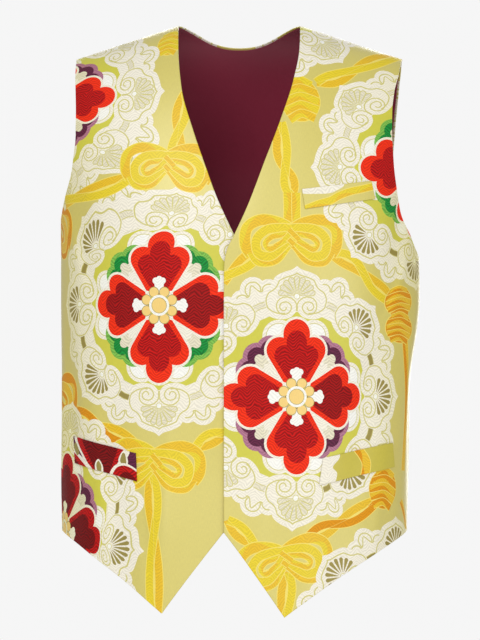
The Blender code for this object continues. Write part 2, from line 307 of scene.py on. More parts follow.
@dataclass(frozen=True)
class Torso:
    """The surface that all the cloth lies on. Metres and radians."""

    neck_half: float = 65.0 * MM
    slope: float = 0.33
    slope_fades_at: float = 200.0 * MM
    rounding: float = 240.0 * MM
    front_power: float = 2.4
    back_power: float = 2.25
    settling: int = 12

    def level_of(self, fall: np.ndarray) -> np.ndarray:
        """Give the height lost below the neck points after a way down the cloth."""
        turn = np.minimum(fall / self.rounding, math.pi / 2)
        straight = np.maximum(fall - self.rounding * math.pi / 2, 0.0)
        return self.rounding * (1.0 - np.cos(turn)) + straight

    def fall_of(self, level: np.ndarray) -> np.ndarray:
        """Give the way down the cloth to a level."""
        low = level - self.rounding + self.rounding * math.pi / 2
        high = self.rounding * np.arccos(np.clip(1.0 - level / self.rounding, 0.0, 1.0))
        return np.where(level >= self.rounding, low, high)

    def sag(self, x: np.ndarray, level: np.ndarray) -> np.ndarray:
        """Give how far the slope of the shoulder lowers a point."""
        out = np.maximum(np.abs(x) - self.neck_half, 0.0)
        return self.slope * out * np.maximum(1.0 - level / self.slope_fades_at, 0.0) ** 2

    def half_width(self, toward: np.ndarray, level: np.ndarray) -> np.ndarray:
        """Give the half width on the side whose sign toward has.

        Args:
            toward: numbers with the sign of the side.
            level: levels below the neck points.

        Returns:
            The half widths.
        """
        left = curve(SECTIONS, "level", "left", level / MM)
        right = curve(SECTIONS, "level", "right", level / MM)
        return np.where(toward >= 0.0, left, right) * MM

    def smooth_points(self, around: np.ndarray, fall: np.ndarray) -> np.ndarray:
        """Give points of the torso before its folds, one row each.

        Args:
            around: angles from the centre front.
            fall: ways down the cloth.

        Returns:
            The points.
        """
        level = self.level_of(fall)
        in_front = np.cos(around) >= 0.0
        front = curve(SECTIONS, "level", "front", level / MM)
        back = curve(SECTIONS, "level", "back", level / MM)
        depth = np.where(in_front, -front, back) * MM
        power = np.where(in_front, self.front_power, self.back_power)
        crown = np.maximum(1.0 - np.abs(np.sin(around)) ** power, 0.0) ** (1.0 / power)
        rounding = np.sin(np.minimum(fall / self.rounding, math.pi / 2))
        x = self.half_width(np.sin(around), level) * np.sin(around)
        return np.stack((x, depth * crown * rounding, -level - self.sag(x, level)), axis=-1)

    def normals(self, around: np.ndarray, fall: np.ndarray) -> np.ndarray:
        """Give the outward directions of the smooth torso.

        Args:
            around: angles from the centre front.
            fall: ways down the cloth.

        Returns:
            The directions, of length 1.
        """
        turn, step = 0.002, 0.5 * MM
        across = self.smooth_points(around + turn, fall) - self.smooth_points(around - turn, fall)
        down = self.smooth_points(around, fall + step) - self.smooth_points(around, fall - step)
        found = np.cross(down, across)
        return found / np.linalg.norm(found, axis=-1, keepdims=True)

    def fold_height(self, around: np.ndarray, fall: np.ndarray) -> np.ndarray:
        """Give the sum of the folds, out of the torso.

        Args:
            around: angles from the centre front.
            fall: ways down the cloth.

        Returns:
            The heights, in metres.
        """
        level = self.level_of(fall) / MM
        degrees = (np.degrees(around) + 180.0) % 360.0 - 180.0
        height = np.zeros_like(level)
        for fold in FOLDS + CREASES:
            along = (level - fold["level"]) / fold["reach"]
            away = (degrees - fold["around"] - fold["lean"] * along) / fold["width"]
            height += fold["height"] * np.exp(-away * away - along * along)
        return height * MM

    def cloth(
        self, around: np.ndarray, fall: np.ndarray, out: float, lap: Lap | None
    ) -> np.ndarray:
        """Give points of the worn cloth.

        Args:
            around: angles from the centre front.
            fall: ways down the cloth.
            out: how far out of the cloth's outer face, in metres.
            lap: the lap of a front, or None.

        Returns:
            The points, one row each.
        """
        base = self.smooth_points(around, fall)
        height = self.fold_height(around, fall) + out
        if lap:
            height = height + lap.shift(base[..., 0])
        return base + self.normals(around, fall) * height[..., None]

    def place_of(self, x: np.ndarray, z: np.ndarray) -> tuple[np.ndarray, np.ndarray]:
        """Give the angle and fall of places seen from the front.

        Args:
            x: places across, in mm.
            z: heights, in mm, below the neck points.

        Returns:
            The angles and the falls.
        """
        x, z = np.asarray(x, dtype=float) * MM, np.asarray(z, dtype=float) * MM
        level = np.maximum(-z, 0.0)
        for _ in range(self.settling):
            level = np.maximum(-z - self.sag(x, level), 0.0)
        width = self.half_width(x, level)
        return np.arcsin(np.clip(x / width, -1.0, 1.0)), self.fall_of(level)

    def armhole(self, rows: Sequence[Row], side: Side) -> list[Row]:
        """Give each row of an armhole table its angle and fall on one side.

        Args:
            rows: the table.
            side: the wearer's side.

        Returns:
            Rows with the angle in radians and the fall in metres.
        """
        found = []
        for row in rows:
            around = math.radians(row["around"])
            drop = -row["z"] * MM
            level = np.array(drop)
            for _ in range(self.settling):
                x = self.half_width(np.array(side.value), level) * math.sin(around)
                level = np.maximum(drop - self.sag(x, level), 0.0)
            fall = float(self.fall_of(level))
            found.append(dict(row=row["row"], around=around * side.value, fall=fall))
        found[-1]["fall"] = SHOULDER_SEAM
        return found


TORSO = Torso()


class Cut:
    """The flat cloth of the fronts or of the back, between the torso's angles and millimetres.

    Turns are in degrees, falls in metres, and widths and the fine step in mm of the cloth.
    """

    SHOULDER_DEPTH = 0.3
    TURN = 108.0
    TURN_STEP = 0.5
    LONGEST = 0.82
    FALL_STEP = 2.0 * MM
    WIDEST = 340.0
    WIDTH_STEP = 2.0
    FINE_STEP = 0.5

    def __init__(self, front: bool) -> None:
        """Measure the torso along its level lines, and down over the shoulders."""
        self.front = front
        self.turns = np.radians(np.arange(-self.TURN, self.TURN + 0.1, self.TURN_STEP))
        self.falls = np.arange(0.0, self.LONGEST, self.FALL_STEP)
        turn, fall = np.meshgrid(self.turns, self.falls)
        points = TORSO.smooth_points(self.around(turn), fall)
        steps = np.linalg.norm(np.diff(points, axis=1), axis=-1)
        lengths = np.concatenate((np.zeros((len(self.falls), 1)), np.cumsum(steps, axis=1)), axis=1)
        middle = lengths[:, len(self.turns) // 2][:, None]
        self.lengths = (lengths - middle) / MM
        self.reach = np.arange(-self.WIDEST, self.WIDEST + 0.1, self.WIDTH_STEP)
        self.inverse = np.array([np.interp(self.reach, row, self.turns) for row in self.lengths])
        self.fine_falls = np.arange(0.0, self.LONGEST, self.FINE_STEP * MM)
        tilt = np.minimum(self.fine_falls / TORSO.rounding, math.pi / 2)
        rate = np.hypot(np.sin(tilt), self.SHOULDER_DEPTH * np.cos(tilt))
        mean_rates = (rate[1:] + rate[:-1]) / 2
        self.drops = np.concatenate(([0.0], np.cumsum(mean_rates))) * self.FINE_STEP

    def around(self, turn: np.ndarray) -> np.ndarray:
        """Give the angle round the torso from the angle off the middle line."""
        return turn if self.front else math.pi - turn

    def flat(self, around: np.ndarray, fall: np.ndarray) -> Flat:
        """Give flat places from angles and falls.

        Args:
            around: angles from the centre front.
            fall: ways down the cloth.

        Returns:
            The flat places.
        """
        turn = around if self.front else (math.pi - around + math.pi) % (2.0 * math.pi) - math.pi
        across = self._between(self.lengths, self.turns, turn, fall)
        return across - 1j * np.interp(fall, self.fine_falls, self.drops)

    def worn(self, flat: Flat) -> tuple[np.ndarray, np.ndarray]:
        """Give angles and falls from flat places."""
        fall = np.interp(-flat.imag, self.drops, self.fine_falls)
        return self.around(self._between(self.inverse, self.reach, flat.real, fall)), fall

    def _between(
        self, entries: np.ndarray, columns: np.ndarray, at: np.ndarray, fall: np.ndarray
    ) -> np.ndarray:
        """Read a grid of fall and another measure between its entries.

        Args:
            entries: the grid, one row for each fall.
            columns: the measure at its columns.
            at: places in that measure.
            fall: ways down the cloth.

        Returns:
            The values there.
        """
        down = np.clip(np.asarray(fall) / self.falls[1], 0.0, len(self.falls) - 1.001)
        over = np.clip((at - columns[0]) / (columns[1] - columns[0]), 0.0, len(columns) - 1.001)
        r, c = down.astype(int), over.astype(int)
        y, x = down - r, over - c
        top = entries[r, c] * (1.0 - x) + entries[r, c + 1] * x
        low = entries[r + 1, c] * (1.0 - x) + entries[r + 1, c + 1] * x
        return top * (1.0 - y) + low * y


FRONT_CUT = Cut(front=True)
BACK_CUT = Cut(front=False)


@dataclass(frozen=True)
class Finish:
    """One kind of thread: its colour, gloss, metal, stitches, silky coat and height in mm."""

    colour: tuple[int, int, int]
    roughness: float = 0.5
    metallic: float = 0.0
    stitches: float = 0.0
    coat: float = 0.6
    lift: float = 0.15

    def linear(self) -> tuple[float, float, float]:
        """Colour in linear light."""
        return tuple(((c / 255 + 0.055) / 1.055) ** 2.4 for c in self.colour)


class Thread(Enum):
    """The threads of the brocade."""

    GROUND = Finish((212, 198, 98), 0.45, 0.08, coat=1.0, lift=0.0)
    LIME = Finish((205, 200, 60), coat=0.6, lift=0.0)
    # The next thread is the ground in painted shade, darker and more olive as round the sides of the body.
    GROUND_IN_SIDE_SHADE = Finish((196, 182, 56), coat=0.6, lift=0.0)
    IVORY = Finish((238, 232, 214), 0.6, 0.0, 0.22, 0.3)
    WHITE = Finish((243, 242, 234), 0.6, 0.0, 0.15, 0.3)
    LINE = Finish((206, 198, 122), coat=0.2, lift=0.05)
    # KHAKI is the dark ring in a flower's middle, and also paints shade on fans and bars of the metallic
    # thread that turn from the light; SILVER is that thread drawn pale, as it shows facing the light.
    KHAKI = Finish((156, 141, 72), 0.5, 0.2, coat=0.2, lift=0.1)
    SILVER = Finish((224, 217, 190), 0.5, 0.0, 0.3, 0.3, 0.1)
    # Red and crimson are the petals' own threads. The two threads after crimson are darker crimsons that
    # paint shade on petals turned from the light.
    RED = Finish((236, 46, 12), 0.6, 0.0, 0.45, 0.0, 0.22)
    CRIMSON = Finish((182, 13, 11), 0.6, 0.0, 1.0, 0.0, 0.2)
    DEEP = Finish((152, 9, 10), 0.6, 0.0, 1.0, 0.0, 0.2)
    CRIMSON_IN_DEEP_SHADE = Finish((116, 2, 5), 0.6, 0.0, 1.0, 0.0, 0.2)
    GOLD = Finish((240, 204, 116), coat=0.6, lift=0.25)
    GREEN = Finish((8, 136, 52), 0.6, 0.0, 0.8, 0.1)
    LEAF_RIM = Finish((120, 182, 72), 0.6, 0.0, 0.5, 0.2)
    PURPLE = Finish((92, 28, 60), 0.6, 0.0, 0.7, 0.1)
    MAUVE = Finish((172, 112, 136), 0.6, 0.0, 0.4, 0.2)
    YELLOW = Finish((228, 203, 26), 0.6, 0.0, 0.2, 0.4, 0.2)
    AMBER = Finish((229, 186, 16), 0.6, 0.0, 0.2, 0.4, 0.2)
    # The next thread paints shade: amber darkened to orange on cords round the sides of the body.
    AMBER_IN_SHADE = Finish((220, 146, 0), 0.6, 0.0, 0.2, 0.1, 0.2)
    PALE = Finish((238, 218, 104), coat=0.4, lift=0.1)


THREADS = list(Thread)
Shapes = list[tuple[Flat, Thread]]


def circle(centre: complex, radius: float, count: int = 24, squash: float = 1.0) -> Flat:
    """Closed outline of a circle, or of an ellipse squashed across.

    Args:
        centre: its middle.
        radius: half its height.
        count: its corners.
        squash: its width over its height.

    Returns:
        The outline.
    """
    turn = np.arange(count) * 2.0 * math.pi / count
    return centre + radius * (np.cos(turn) * squash + 1j * np.sin(turn))


def smooth(points: Sequence[complex], closed: bool = False, steps: int = 6) -> Flat:
    """Draw a smooth line through points.

    Args:
        points: the points to pass.
        closed: whether the line comes back to its start.
        steps: points for each stretch.

    Returns:
        The points of the line.
    """
    p = np.asarray(points, dtype=complex)
    if closed:
        p = np.concatenate((p[-1:], p, p[:2]))
    else:
        p = np.concatenate(([2 * p[0] - p[1]], p, [2 * p[-1] - p[-2]]))
    t = (np.arange(steps) / steps)[None, :]
    a, b, c, d = (p[k : len(p) - 3 + k][:, None] for k in range(4))
    line = b + 0.5 * t * (c - a + t * (2 * a - 5 * b + 4 * c - d + t * (3 * (b - c) + d - a)))
    line = line.ravel()
    return line if closed else np.append(line, p[-2])


def sides(path: Flat) -> Flat:
    """Unit directions to the left of a path at its points."""
    ahead = np.gradient(path)
    return 1j * ahead / np.maximum(np.abs(ahead), TINY)


def twice_area(outline: Flat) -> float:
    """Twice the area of a closed outline, below 0 where it runs clockwise."""
    return float((outline.conj() * np.roll(outline, -1)).imag.sum())


@dataclass
class Canvas:
    """Shapes on the flat cloth in painter's order, each in one thread."""

    points: list[Flat] = field(default_factory=list)
    faces: list[list[int]] = field(default_factory=list)
    threads: list[int] = field(default_factory=list)
    count: int = 0

    def fill(self, outline: Flat, thread: Thread) -> None:
        """Fill a closed outline.

        Args:
            outline: its corners in order, either way round.
            thread: the thread to fill it with.
        """
        outline = np.asarray(outline, dtype=complex)
        if twice_area(outline) < 0:
            outline = outline[::-1]
        self.points.append(outline)
        self.faces.append(list(range(self.count, self.count + len(outline))))
        self.threads.append(THREADS.index(thread))
        self.count += len(outline)

    def stroke(self, path: Flat, width: float | np.ndarray, thread: Thread) -> None:
        """Lay a band of a width, or of a width at each point, along a path.

        Args:
            path: the middle of the band.
            width: its width.
            thread: its thread.
        """
        half = sides(path) * np.asarray(width) / 2
        points = np.concatenate((path + half, path - half))
        self.points.append(points)
        n = len(path)
        for k in range(n - 1):
            quad = (n + k, n + k + 1, k + 1, k)
            turns = [self._turn(points, quad[j - 1], quad[j], quad[(j + 1) % 4]) for j in range(4)]
            pieces = [quad] if min(turns) > 0 else [quad[:3], (quad[2], quad[3], quad[0])]
            for piece in pieces:
                if self._turn(points, *piece[:3]) < 0:
                    piece = piece[::-1]
                self.faces.append([self.count + i for i in piece])
                self.threads.append(THREADS.index(thread))
        self.count += 2 * n

    @staticmethod
    def _turn(points: Flat, a: int, b: int, c: int) -> float:
        """Twice the signed area of a triangle of points."""
        return float(((points[b] - points[a]).conjugate() * (points[c] - points[b])).imag)

    def paint(self, shapes: Shapes, place: complex, turn: complex) -> None:
        """Fill shapes drawn around zero at a place, turned and scaled by a complex factor.

        Args:
            shapes: outlines with their threads.
            place: where zero goes.
            turn: the factor.
        """
        for outline, thread in shapes:
            self.fill(place + turn * outline, thread)


def mirrored(half: Flat) -> Flat:
    """Closed outline from the half on the right of the upright axis, from its top down."""
    return np.concatenate((half, -half[::-1].conj()))


def flipped(place: complex) -> complex:
    """Mirror image of a place across the upright axis."""
    return complex(-place.real, place.imag)


def teardrop(start: complex, end: complex, width: float, count: int = 6) -> Flat:
    """Outline of a drop with its point at the start and its round end at the end.

    Args:
        start: the point.
        end: the end of the round.
        width: the width of the round.
        count: the corners of the round.

    Returns:
        The outline.
    """
    axis = (end - start) / abs(end - start)
    turn = np.linspace(-math.pi / 2, math.pi / 2, count)
    cap = end + axis * width / 2 * (np.cos(turn) + 1j * np.sin(turn) - 1.0)
    return np.concatenate(([start], cap))


@dataclass(frozen=True)
class Lobed:
    """A petal or leaf of a middle lobe, two side lobes and a stem side. View units, up its axis."""

    middle: complex
    middle_size: complex
    lobe: complex
    lobe_size: float
    foot: complex
    lobe_leaves: float = 0.5
    foot_spread: float = 1.1
    foot_drop: float = 3.0
    overlap: float = 2.0

    def shapes(self, thread: Thread, grow: float = 0.0) -> Shapes:
        """Give the shapes that together fill the petal, grown by a margin.

        Args:
            thread: the thread to fill it with.
            grow: the margin.

        Returns:
            The shapes, around the middle of the flower.
        """
        size = self.middle_size
        tall, wide = size.imag + grow, size.real + grow
        shapes = [(circle(self.middle, tall, 28, wide / tall), thread)]
        for place in (self.lobe, flipped(self.lobe)):
            shapes.append((circle(place, self.lobe_size + grow, 24), thread))
        edge = self.lobe + (self.lobe_size + grow) * cmath.exp(-1j * self.lobe_leaves)
        foot = complex(self.foot.real + grow * self.foot_spread, self.foot.imag)
        point = 1j * (foot.imag - self.foot_drop)
        half = np.array([1j * self.middle.imag, self.lobe, edge, foot, point])
        shapes.append((mirrored(half[1:]), thread))
        shapes.append((mirrored(half[:2] + np.array([0, self.overlap])), thread))
        return shapes


@dataclass(frozen=True)
class Flower:
    """Four lobed petals with four leaves between them. View units.

    A ring is a radius, a number of corners and a thread, and rings come from the outer one in. A club
    is a bar with three round heads at its end.
    """

    rim: Lobed = Lobed(62j, 13.6 + 15j, 17.4 + 46.3j, 13.0, 13.4 + 14.6j)
    inner: Lobed = Lobed(53.5j, 10.4 + 12.2j, 12.6 + 41.0j, 10.0, 7.0 + 14.0j)
    outline: float = 2.5
    shell: complex = 18 + 60j
    shell_rings: tuple[tuple[float, int, Thread], ...] = (
        (16.5, 28, Thread.IVORY),
        (13.2, 24, Thread.LINE),
        (12.4, 24, Thread.WHITE),
    )
    leaf_reach: float = 56.0
    leaf_droop: float = 9.0
    leaf_spread: float = 0.27
    leaf_lobe: float = 9.8
    leaf_edge: float = 4.6
    leaf_foot: tuple[complex, ...] = (-17 + 55j, -4 + 20j, 4 + 20j, 17 + 55j)
    long_club: tuple[complex, ...] = (-1 + 12j, 1 + 12j, 9.5 + 42j, 4 + 50j, -4 + 50j, -9.5 + 42j)
    long_heads: tuple[complex, ...] = (-4.6 + 48j, 4.6 + 48j, 53j)
    long_head: float = 4.8
    short_club: tuple[complex, ...] = (-3.8 + 12j, 3.8 + 12j, 5.2 + 24j, -5.2 + 24j)
    short_heads: tuple[complex, ...] = (-3.6 + 24.5j, 3.6 + 24.5j, 26j)
    short_head: float = 3.3
    button_reach: float = 14.2
    button_rings: tuple[tuple[float, int, Thread], ...] = (
        (5.4, 16, Thread.KHAKI),
        (4.8, 16, Thread.GOLD),
    )
    disc_rings: tuple[tuple[float, int, Thread], ...] = (
        (10.4, 28, Thread.WHITE),
        (7.9, 24, Thread.KHAKI),
        (7.4, 24, Thread.GOLD),
    )

    def draw(self, canvas: Canvas, medallion: "Medallion", unit: complex) -> None:
        """Draw the flower of a medallion, with its leaves in two threads.

        Args:
            canvas: the cloth to draw on.
            medallion: the medallion around it.
            unit: a view unit upwards, turned with the medallion.
        """
        place = medallion.centre
        quarters = [unit * 1j**quarter for quarter in range(4)]
        # Painted shade: a flower in shade draws its petal rims in crimson and its inner petals in the
        # darkest crimson; otherwise the listed quarters' inner petals are a darker crimson.
        edge = Thread.CRIMSON if medallion.in_painted_shade else Thread.RED
        deep = Thread.CRIMSON_IN_DEEP_SHADE if medallion.in_painted_shade else Thread.DEEP
        shells = self._rings(self.shell_rings, (self.shell, flipped(self.shell)))
        leaves = self._leaf(medallion)
        for turn in quarters:
            canvas.paint(shells, place, turn)
        for turn in quarters:
            canvas.paint(leaves, place, turn * cmath.exp(0.25j * math.pi))
        for turn in quarters:
            canvas.paint(self.rim.shapes(Thread.IVORY, self.outline), place, turn)
        for quarter, turn in enumerate(quarters):
            inner = deep if quarter in medallion.deep else Thread.CRIMSON
            canvas.paint(self.rim.shapes(edge) + self.inner.shapes(inner), place, turn)
        canvas.paint(self._centre(), place, unit)

    def _leaf(self, medallion: "Medallion") -> Shapes:
        """Give a leaf of three lobes and the club on it."""
        shapes: Shapes = []
        for grow, thread in ((self.leaf_edge, medallion.rim), (0.0, medallion.leaf)):
            for lean in (-self.leaf_spread, 0.0, self.leaf_spread):
                reach = self.leaf_reach - self.leaf_droop * abs(lean)
                centre = reach * 1j * cmath.exp(1j * lean)
                shapes.append((circle(centre, self.leaf_lobe + grow, 22), thread))
        shapes.append((np.array(self.leaf_foot), medallion.leaf))
        shapes.append((np.array(self.long_club), Thread.IVORY))
        return shapes + self._rings(((self.long_head, 14, Thread.SILVER),), self.long_heads)

    def _centre(self) -> Shapes:
        """Give the short clubs, the round petals and the plain disc in the middle."""
        shapes: Shapes = []
        for turn in (1j**quarter for quarter in range(4)):
            heads = [turn * head for head in self.short_heads]
            shapes.append((turn * np.array(self.short_club), Thread.WHITE))
            shapes += self._rings(((self.short_head, 12, Thread.WHITE),), heads)
        eighths = (cmath.exp(1j * math.pi * (k + 0.5) / 4) for k in range(8))
        shapes += self._rings(self.button_rings, [self.button_reach * turn for turn in eighths])
        return shapes + self._rings(self.disc_rings, (0j,))

    @staticmethod
    def _rings(
        rings: Sequence[tuple[float, int, Thread]], centres: Sequence[complex]
    ) -> Shapes:
        """Give discs in rings, one centre after the other."""
        return [
            (circle(centre, radius, count), thread)
            for centre in centres
            for radius, count, thread in rings
        ]


@dataclass(frozen=True)
class CloudHead:
    """One scalloped cloud head of the collar, with its fan and two spirals. View units."""

    half: tuple[complex, ...] = (
        129.6j, 5 + 126j, 13 + 123.5j, 21.5 + 119j, 25.6 + 111.5j, 32 + 107j, 36 + 99.5j,
        36.2 + 92j, 33 + 84j, 24 + 78.2j, 14 + 76.8j, 6 + 79j, 1.0 + 84j,
    )
    band: float = 5.7
    line: float = 1.35
    spiral: complex = -13.0 + 89j
    spiral_radii: tuple[float, ...] = (15.5, 13.6, 9.6, 7.4, 7.5, 7.6, 4.6, 4.3, 3.7, 2.2)
    spiral_quarters: tuple[float, float] = (-0.2, 8.0)
    hub: complex = 99.5j
    hub_radius: float = 3.2
    hub_middle: float = 2.5
    rays: tuple[int, ...] = (-4, 4, -3, 3, -2, 2, -1, 1, 0)
    ray_turn: float = 19.6
    ray_start: float = 2.0
    ray_end: float = 20.6
    ray_shortens: float = 0.3
    ray_width: float = 6.6
    ray_edge: tuple[float, float] = (1.6, 0.85)
    ray_middle: float = 4.7
    khaki_middle: float = 4.1

    def draw(self, canvas: Canvas, place: complex, turn: complex, khaki: bool) -> None:
        """Draw the head, with its fan in khaki where asked, as painted shade.

        Args:
            canvas: the cloth to draw on.
            place: the middle of the medallion.
            turn: a view unit towards the head.
            khaki: whether the fan is khaki, painted shade in place of the pale fan.
        """
        half = smooth(self.half, steps=5)
        canvas.fill(place + turn * mirrored(half), Thread.IVORY)
        inner = (half - sides(half) * self.band)[3:-8]
        inner[0] = 1j * abs(inner[0])
        quarter = np.linspace(*self.spiral_quarters, 34)
        radius = np.interp(quarter, range(-1, 9), self.spiral_radii)
        curl = self.spiral + radius * np.exp(0.5j * math.pi * quarter)
        for line in (inner, -curl.conj(), -inner.conj(), curl):
            canvas.stroke(place + turn * line, self.line, Thread.LINE)
        self._fan(canvas, place, turn, khaki)

    def _fan(self, canvas: Canvas, place: complex, turn: complex, khaki: bool) -> None:
        """Draw the rays of the fan and its hub."""
        # A khaki fan paints shade: the pale fan's thread drawn dark where it turns from the light.
        edge, middle = (Thread.IVORY, Thread.KHAKI) if khaki else (Thread.LINE, Thread.SILVER)
        width = self.khaki_middle if khaki else self.ray_middle
        for k in self.rays:
            lean = cmath.exp(-1j * math.radians(self.ray_turn * k)) * 1j
            start = self.hub + lean * self.ray_start
            end = self.hub + lean * (self.ray_end - self.ray_shortens * abs(k))
            ray = teardrop(start, end, self.ray_width, 8)
            at_start, at_end = self.ray_edge
            inner = teardrop(start + lean * at_start, end - lean * at_end, width, 7)
            canvas.paint([(ray, edge), (inner, middle)], place, turn)
        canvas.fill(place + turn * circle(self.hub, self.hub_radius, 12), Thread.LINE)
        canvas.fill(place + turn * circle(self.hub, self.hub_middle, 12), Thread.WHITE)


@dataclass(frozen=True)
class Medallion:
    """A flower in a collar of eight cloud heads. View units, centred on a flat place."""

    centre: complex
    leaf: Thread
    rim: Thread
    # Painted shade: the numbers of the heads and the bars drawn in khaki where they turn from the light.
    shaded_fan_heads: tuple[int, ...] = ()
    shaded_bars: tuple[int, ...] = ()
    lean: float = 0.0
    # Painted shade: the quarters whose inner petals are darker, and whether the whole flower is darker.
    deep: tuple[int, ...] = ()
    in_painted_shade: bool = False
    heads: int = 8
    ground: float = 92.0
    bar: tuple[complex, ...] = (-5.8 + 96.4j, 97j, 5.8 + 96.4j)
    bar_width: float = 5.2
    bar_edge: float = 0.8
    bumps: tuple[tuple[complex, float], ...] = ((114.5j, 13.0), (-14 + 108j, 11.5), (14 + 108j, 11.5))
    waves: tuple[tuple[float, Thread], ...] = (
        (0.0, Thread.IVORY),
        (4.6, Thread.LINE),
        (5.9, Thread.IVORY),
    )
    wave_half: float = 25.0
    wave_foot: float = 84.0
    wave_top: tuple[float, float] = (106.0, 112.0)
    crest: tuple[complex, ...] = (
        -15 + 97j, -15 + 109j, -6 + 110j, 119j, 6 + 110j, 15 + 109j, 15 + 97j,
    )
    crest_width: float = 1.3

    def draw(self, canvas: Canvas) -> None:
        """Draw the whole medallion."""
        canvas.fill(circle(self.centre, self.ground * VIEW_UNIT, 72), Thread.LIME)
        step = 2.0 * math.pi / self.heads
        unit = VIEW_UNIT * cmath.exp(1j * math.radians(self.lean))
        between = [unit * cmath.exp(1j * step * (k + 0.5)) for k in range(self.heads)]
        for turn in between:
            self._wave(canvas, turn)
        for k in range(self.heads):
            turn = unit * cmath.exp(1j * step * k)
            CloudHead().draw(canvas, self.centre, turn, k in self.shaded_fan_heads)
        for k, turn in enumerate(between):
            bar = self.centre + turn * np.array(self.bar)
            canvas.stroke(bar, self.bar_width + 2 * self.bar_edge, Thread.LINE)
            # Bars in khaki are painted shade.
            thread = Thread.KHAKI if k in self.shaded_bars else Thread.SILVER
            canvas.stroke(bar, self.bar_width, thread)
        Flower().draw(canvas, self, unit)

    def _wave(self, canvas: Canvas, turn: complex) -> None:
        """Draw the nested cloud between two heads, each of its clouds moved in from the last."""
        for inset, thread in self.waves:
            for centre, radius in self.bumps:
                canvas.fill(self.centre + turn * circle(centre, radius - inset, 18), thread)
            wide = self.wave_half - inset
            shoulder, crown = self.wave_top
            right = [complex(wide, self.wave_foot), complex(wide, shoulder)]
            left = [flipped(corner) for corner in right]
            corners = np.array([left[0], right[0], right[1], 1j * crown, left[1]])
            canvas.fill(self.centre + turn * corners, thread)
        crest = smooth(self.crest, steps=4)
        canvas.stroke(self.centre + turn * crest, self.crest_width, Thread.LINE)


@dataclass(frozen=True)
class Patch:
    """A filled rounded shape through flat places."""

    thread: Thread
    places: tuple[complex, ...]

    def draw(self, canvas: Canvas) -> None:
        """Draw the shape."""
        canvas.fill(smooth(self.places, closed=True, steps=5), self.thread)


@dataclass(frozen=True)
class Pull:
    """A place where the worn cloth is pulled along itself, and how far round it. Flat mm."""

    place: complex
    by: complex
    reach: float

    def shift(self, points: Flat) -> Flat:
        """Give how far it moves flat places."""
        away = np.abs(points - self.place) / self.reach
        return self.by * np.exp(-away * away)


# Least width of a band that swells and narrows, mm.
THINNEST = 0.3


@dataclass(frozen=True)
class Cord:
    """A woven cord through flat places, with a pale outline and a shade along one side."""

    places: tuple[complex, ...]
    thread: Thread = Thread.YELLOW
    width: float = 9.0
    shade: Thread = Thread.AMBER
    outline: float = 0.8
    waves: float = 0.35
    shaded: float = 0.55

    def draw(self, canvas: Canvas) -> None:
        """Draw the cord."""
        path = smooth(self.places, steps=7)
        canvas.stroke(path, self.width + 2 * self.outline, Thread.PALE)
        canvas.stroke(path, self.width, self.thread)
        swell = 0.5 + 0.5 * np.sin(np.arange(len(path)) * self.waves)
        band = self.width * self.shaded * swell + THINNEST
        canvas.stroke(path - sides(path) * (self.width - band) / 2, band, self.shade)


@dataclass(frozen=True)
class Twist:
    """Two cords twisted along flat places, with slits between them."""

    places: tuple[complex, ...]
    lenses: float = 2.0
    threads: tuple[Thread, Thread] = (Thread.AMBER, Thread.YELLOW)
    width: float = 8.6
    outline: float = 0.8
    opens: float = 5.2
    slit_from: float = 0.7
    slit_width: float = 1.6

    def draw(self, canvas: Canvas) -> None:
        """Draw both cords and a pale slit in each opening."""
        path = smooth(self.places, steps=9)
        along = np.linspace(0.0, 1.0, len(path))
        swing = np.sin(math.pi * self.lenses * along) * self.opens
        for way, thread in zip((-1, 1), self.threads):
            line = path + sides(path) * swing * way
            canvas.stroke(line, self.width + 2 * self.outline, Thread.PALE)
            canvas.stroke(line, self.width, thread)
        gap = np.maximum(np.abs(swing) - self.opens * self.slit_from, 0.0)
        canvas.stroke(path, gap * self.slit_width + THINNEST, Thread.PALE)


class Tone(Enum):
    """Which of a figure's two threads a cord is in."""

    LIGHT = 0
    DARK = 1


@dataclass(frozen=True)
class Knot:
    """A flat knot of cord: two loops in each other on each side of a woven square. View units.

    A strand of one half is its width, its thread of the two, and its places. The other half mirrors it.
    """

    centre: complex
    turn: float = 0.0
    size: float = 1.0
    threads: tuple[Thread, Thread] = (Thread.YELLOW, Thread.AMBER)
    outline: float = 0.9
    strands: tuple[tuple[float, Tone, tuple[complex, ...]], ...] = (
        (10.5, Tone.DARK, (2 + 6j, -12 + 14j, -30 + 17j, -44 + 9j, -46 - 7j, -40 - 18j)),
        (9.0, Tone.DARK, (-40 - 14j, -32 - 24j, -16 - 22j, -5 - 9j, 6 + 1j)),
        (
            8.4,
            Tone.LIGHT,
            (4 + 8j, -10 + 9j, -25 + 7j, -35 - 3j, -33 - 16j, -22 - 19j, -12 - 12j, -2 - 1j),
        ),
        (5.0, Tone.DARK, (-3 + 3j, -12 + 2j, -20 + 0j, -26 - 6j, -22 - 12j, -14 - 8j, -6 - 3j)),
    )
    slit: tuple[complex, complex] = (18 - 7.5j, 24 - 8.5j)
    slit_width: float = 1.8
    weave_step: float = 3.4
    weave_half: float = 7.2
    weave_width: float = 4.8
    weave_edge: float = 0.7

    def draw(self, canvas: Canvas) -> None:
        """Draw the loops and then the square."""
        factor = VIEW_UNIT * self.size * cmath.exp(1j * math.radians(self.turn))
        light, dark = self.threads
        for width, tone, points in self.strands:
            for half in (points, [flipped(point) for point in points]):
                line = tuple(self.centre + factor * point for point in half)
                scaled = width * VIEW_UNIT * self.size
                Cord(line, self.threads[tone.value], scaled, light, self.outline).draw(canvas)
        for half in ([flipped(point) for point in self.slit], self.slit):
            canvas.stroke(self.centre + factor * np.array(half), self.slit_width, Thread.PALE)
        for step in (-1, 1):
            for way, thread in ((1, light), (-1, dark)):
                across = cmath.exp(0.25j * math.pi * way)
                middle = 1j * across * self.weave_step * step
                ends = np.array([-across, across]) * self.weave_half + middle
                bar = self.centre + factor * ends
                for width, band in (
                    (self.weave_width + 2 * self.weave_edge, Thread.PALE),
                    (self.weave_width, thread),
                ):
                    canvas.stroke(bar, width * self.size, band)


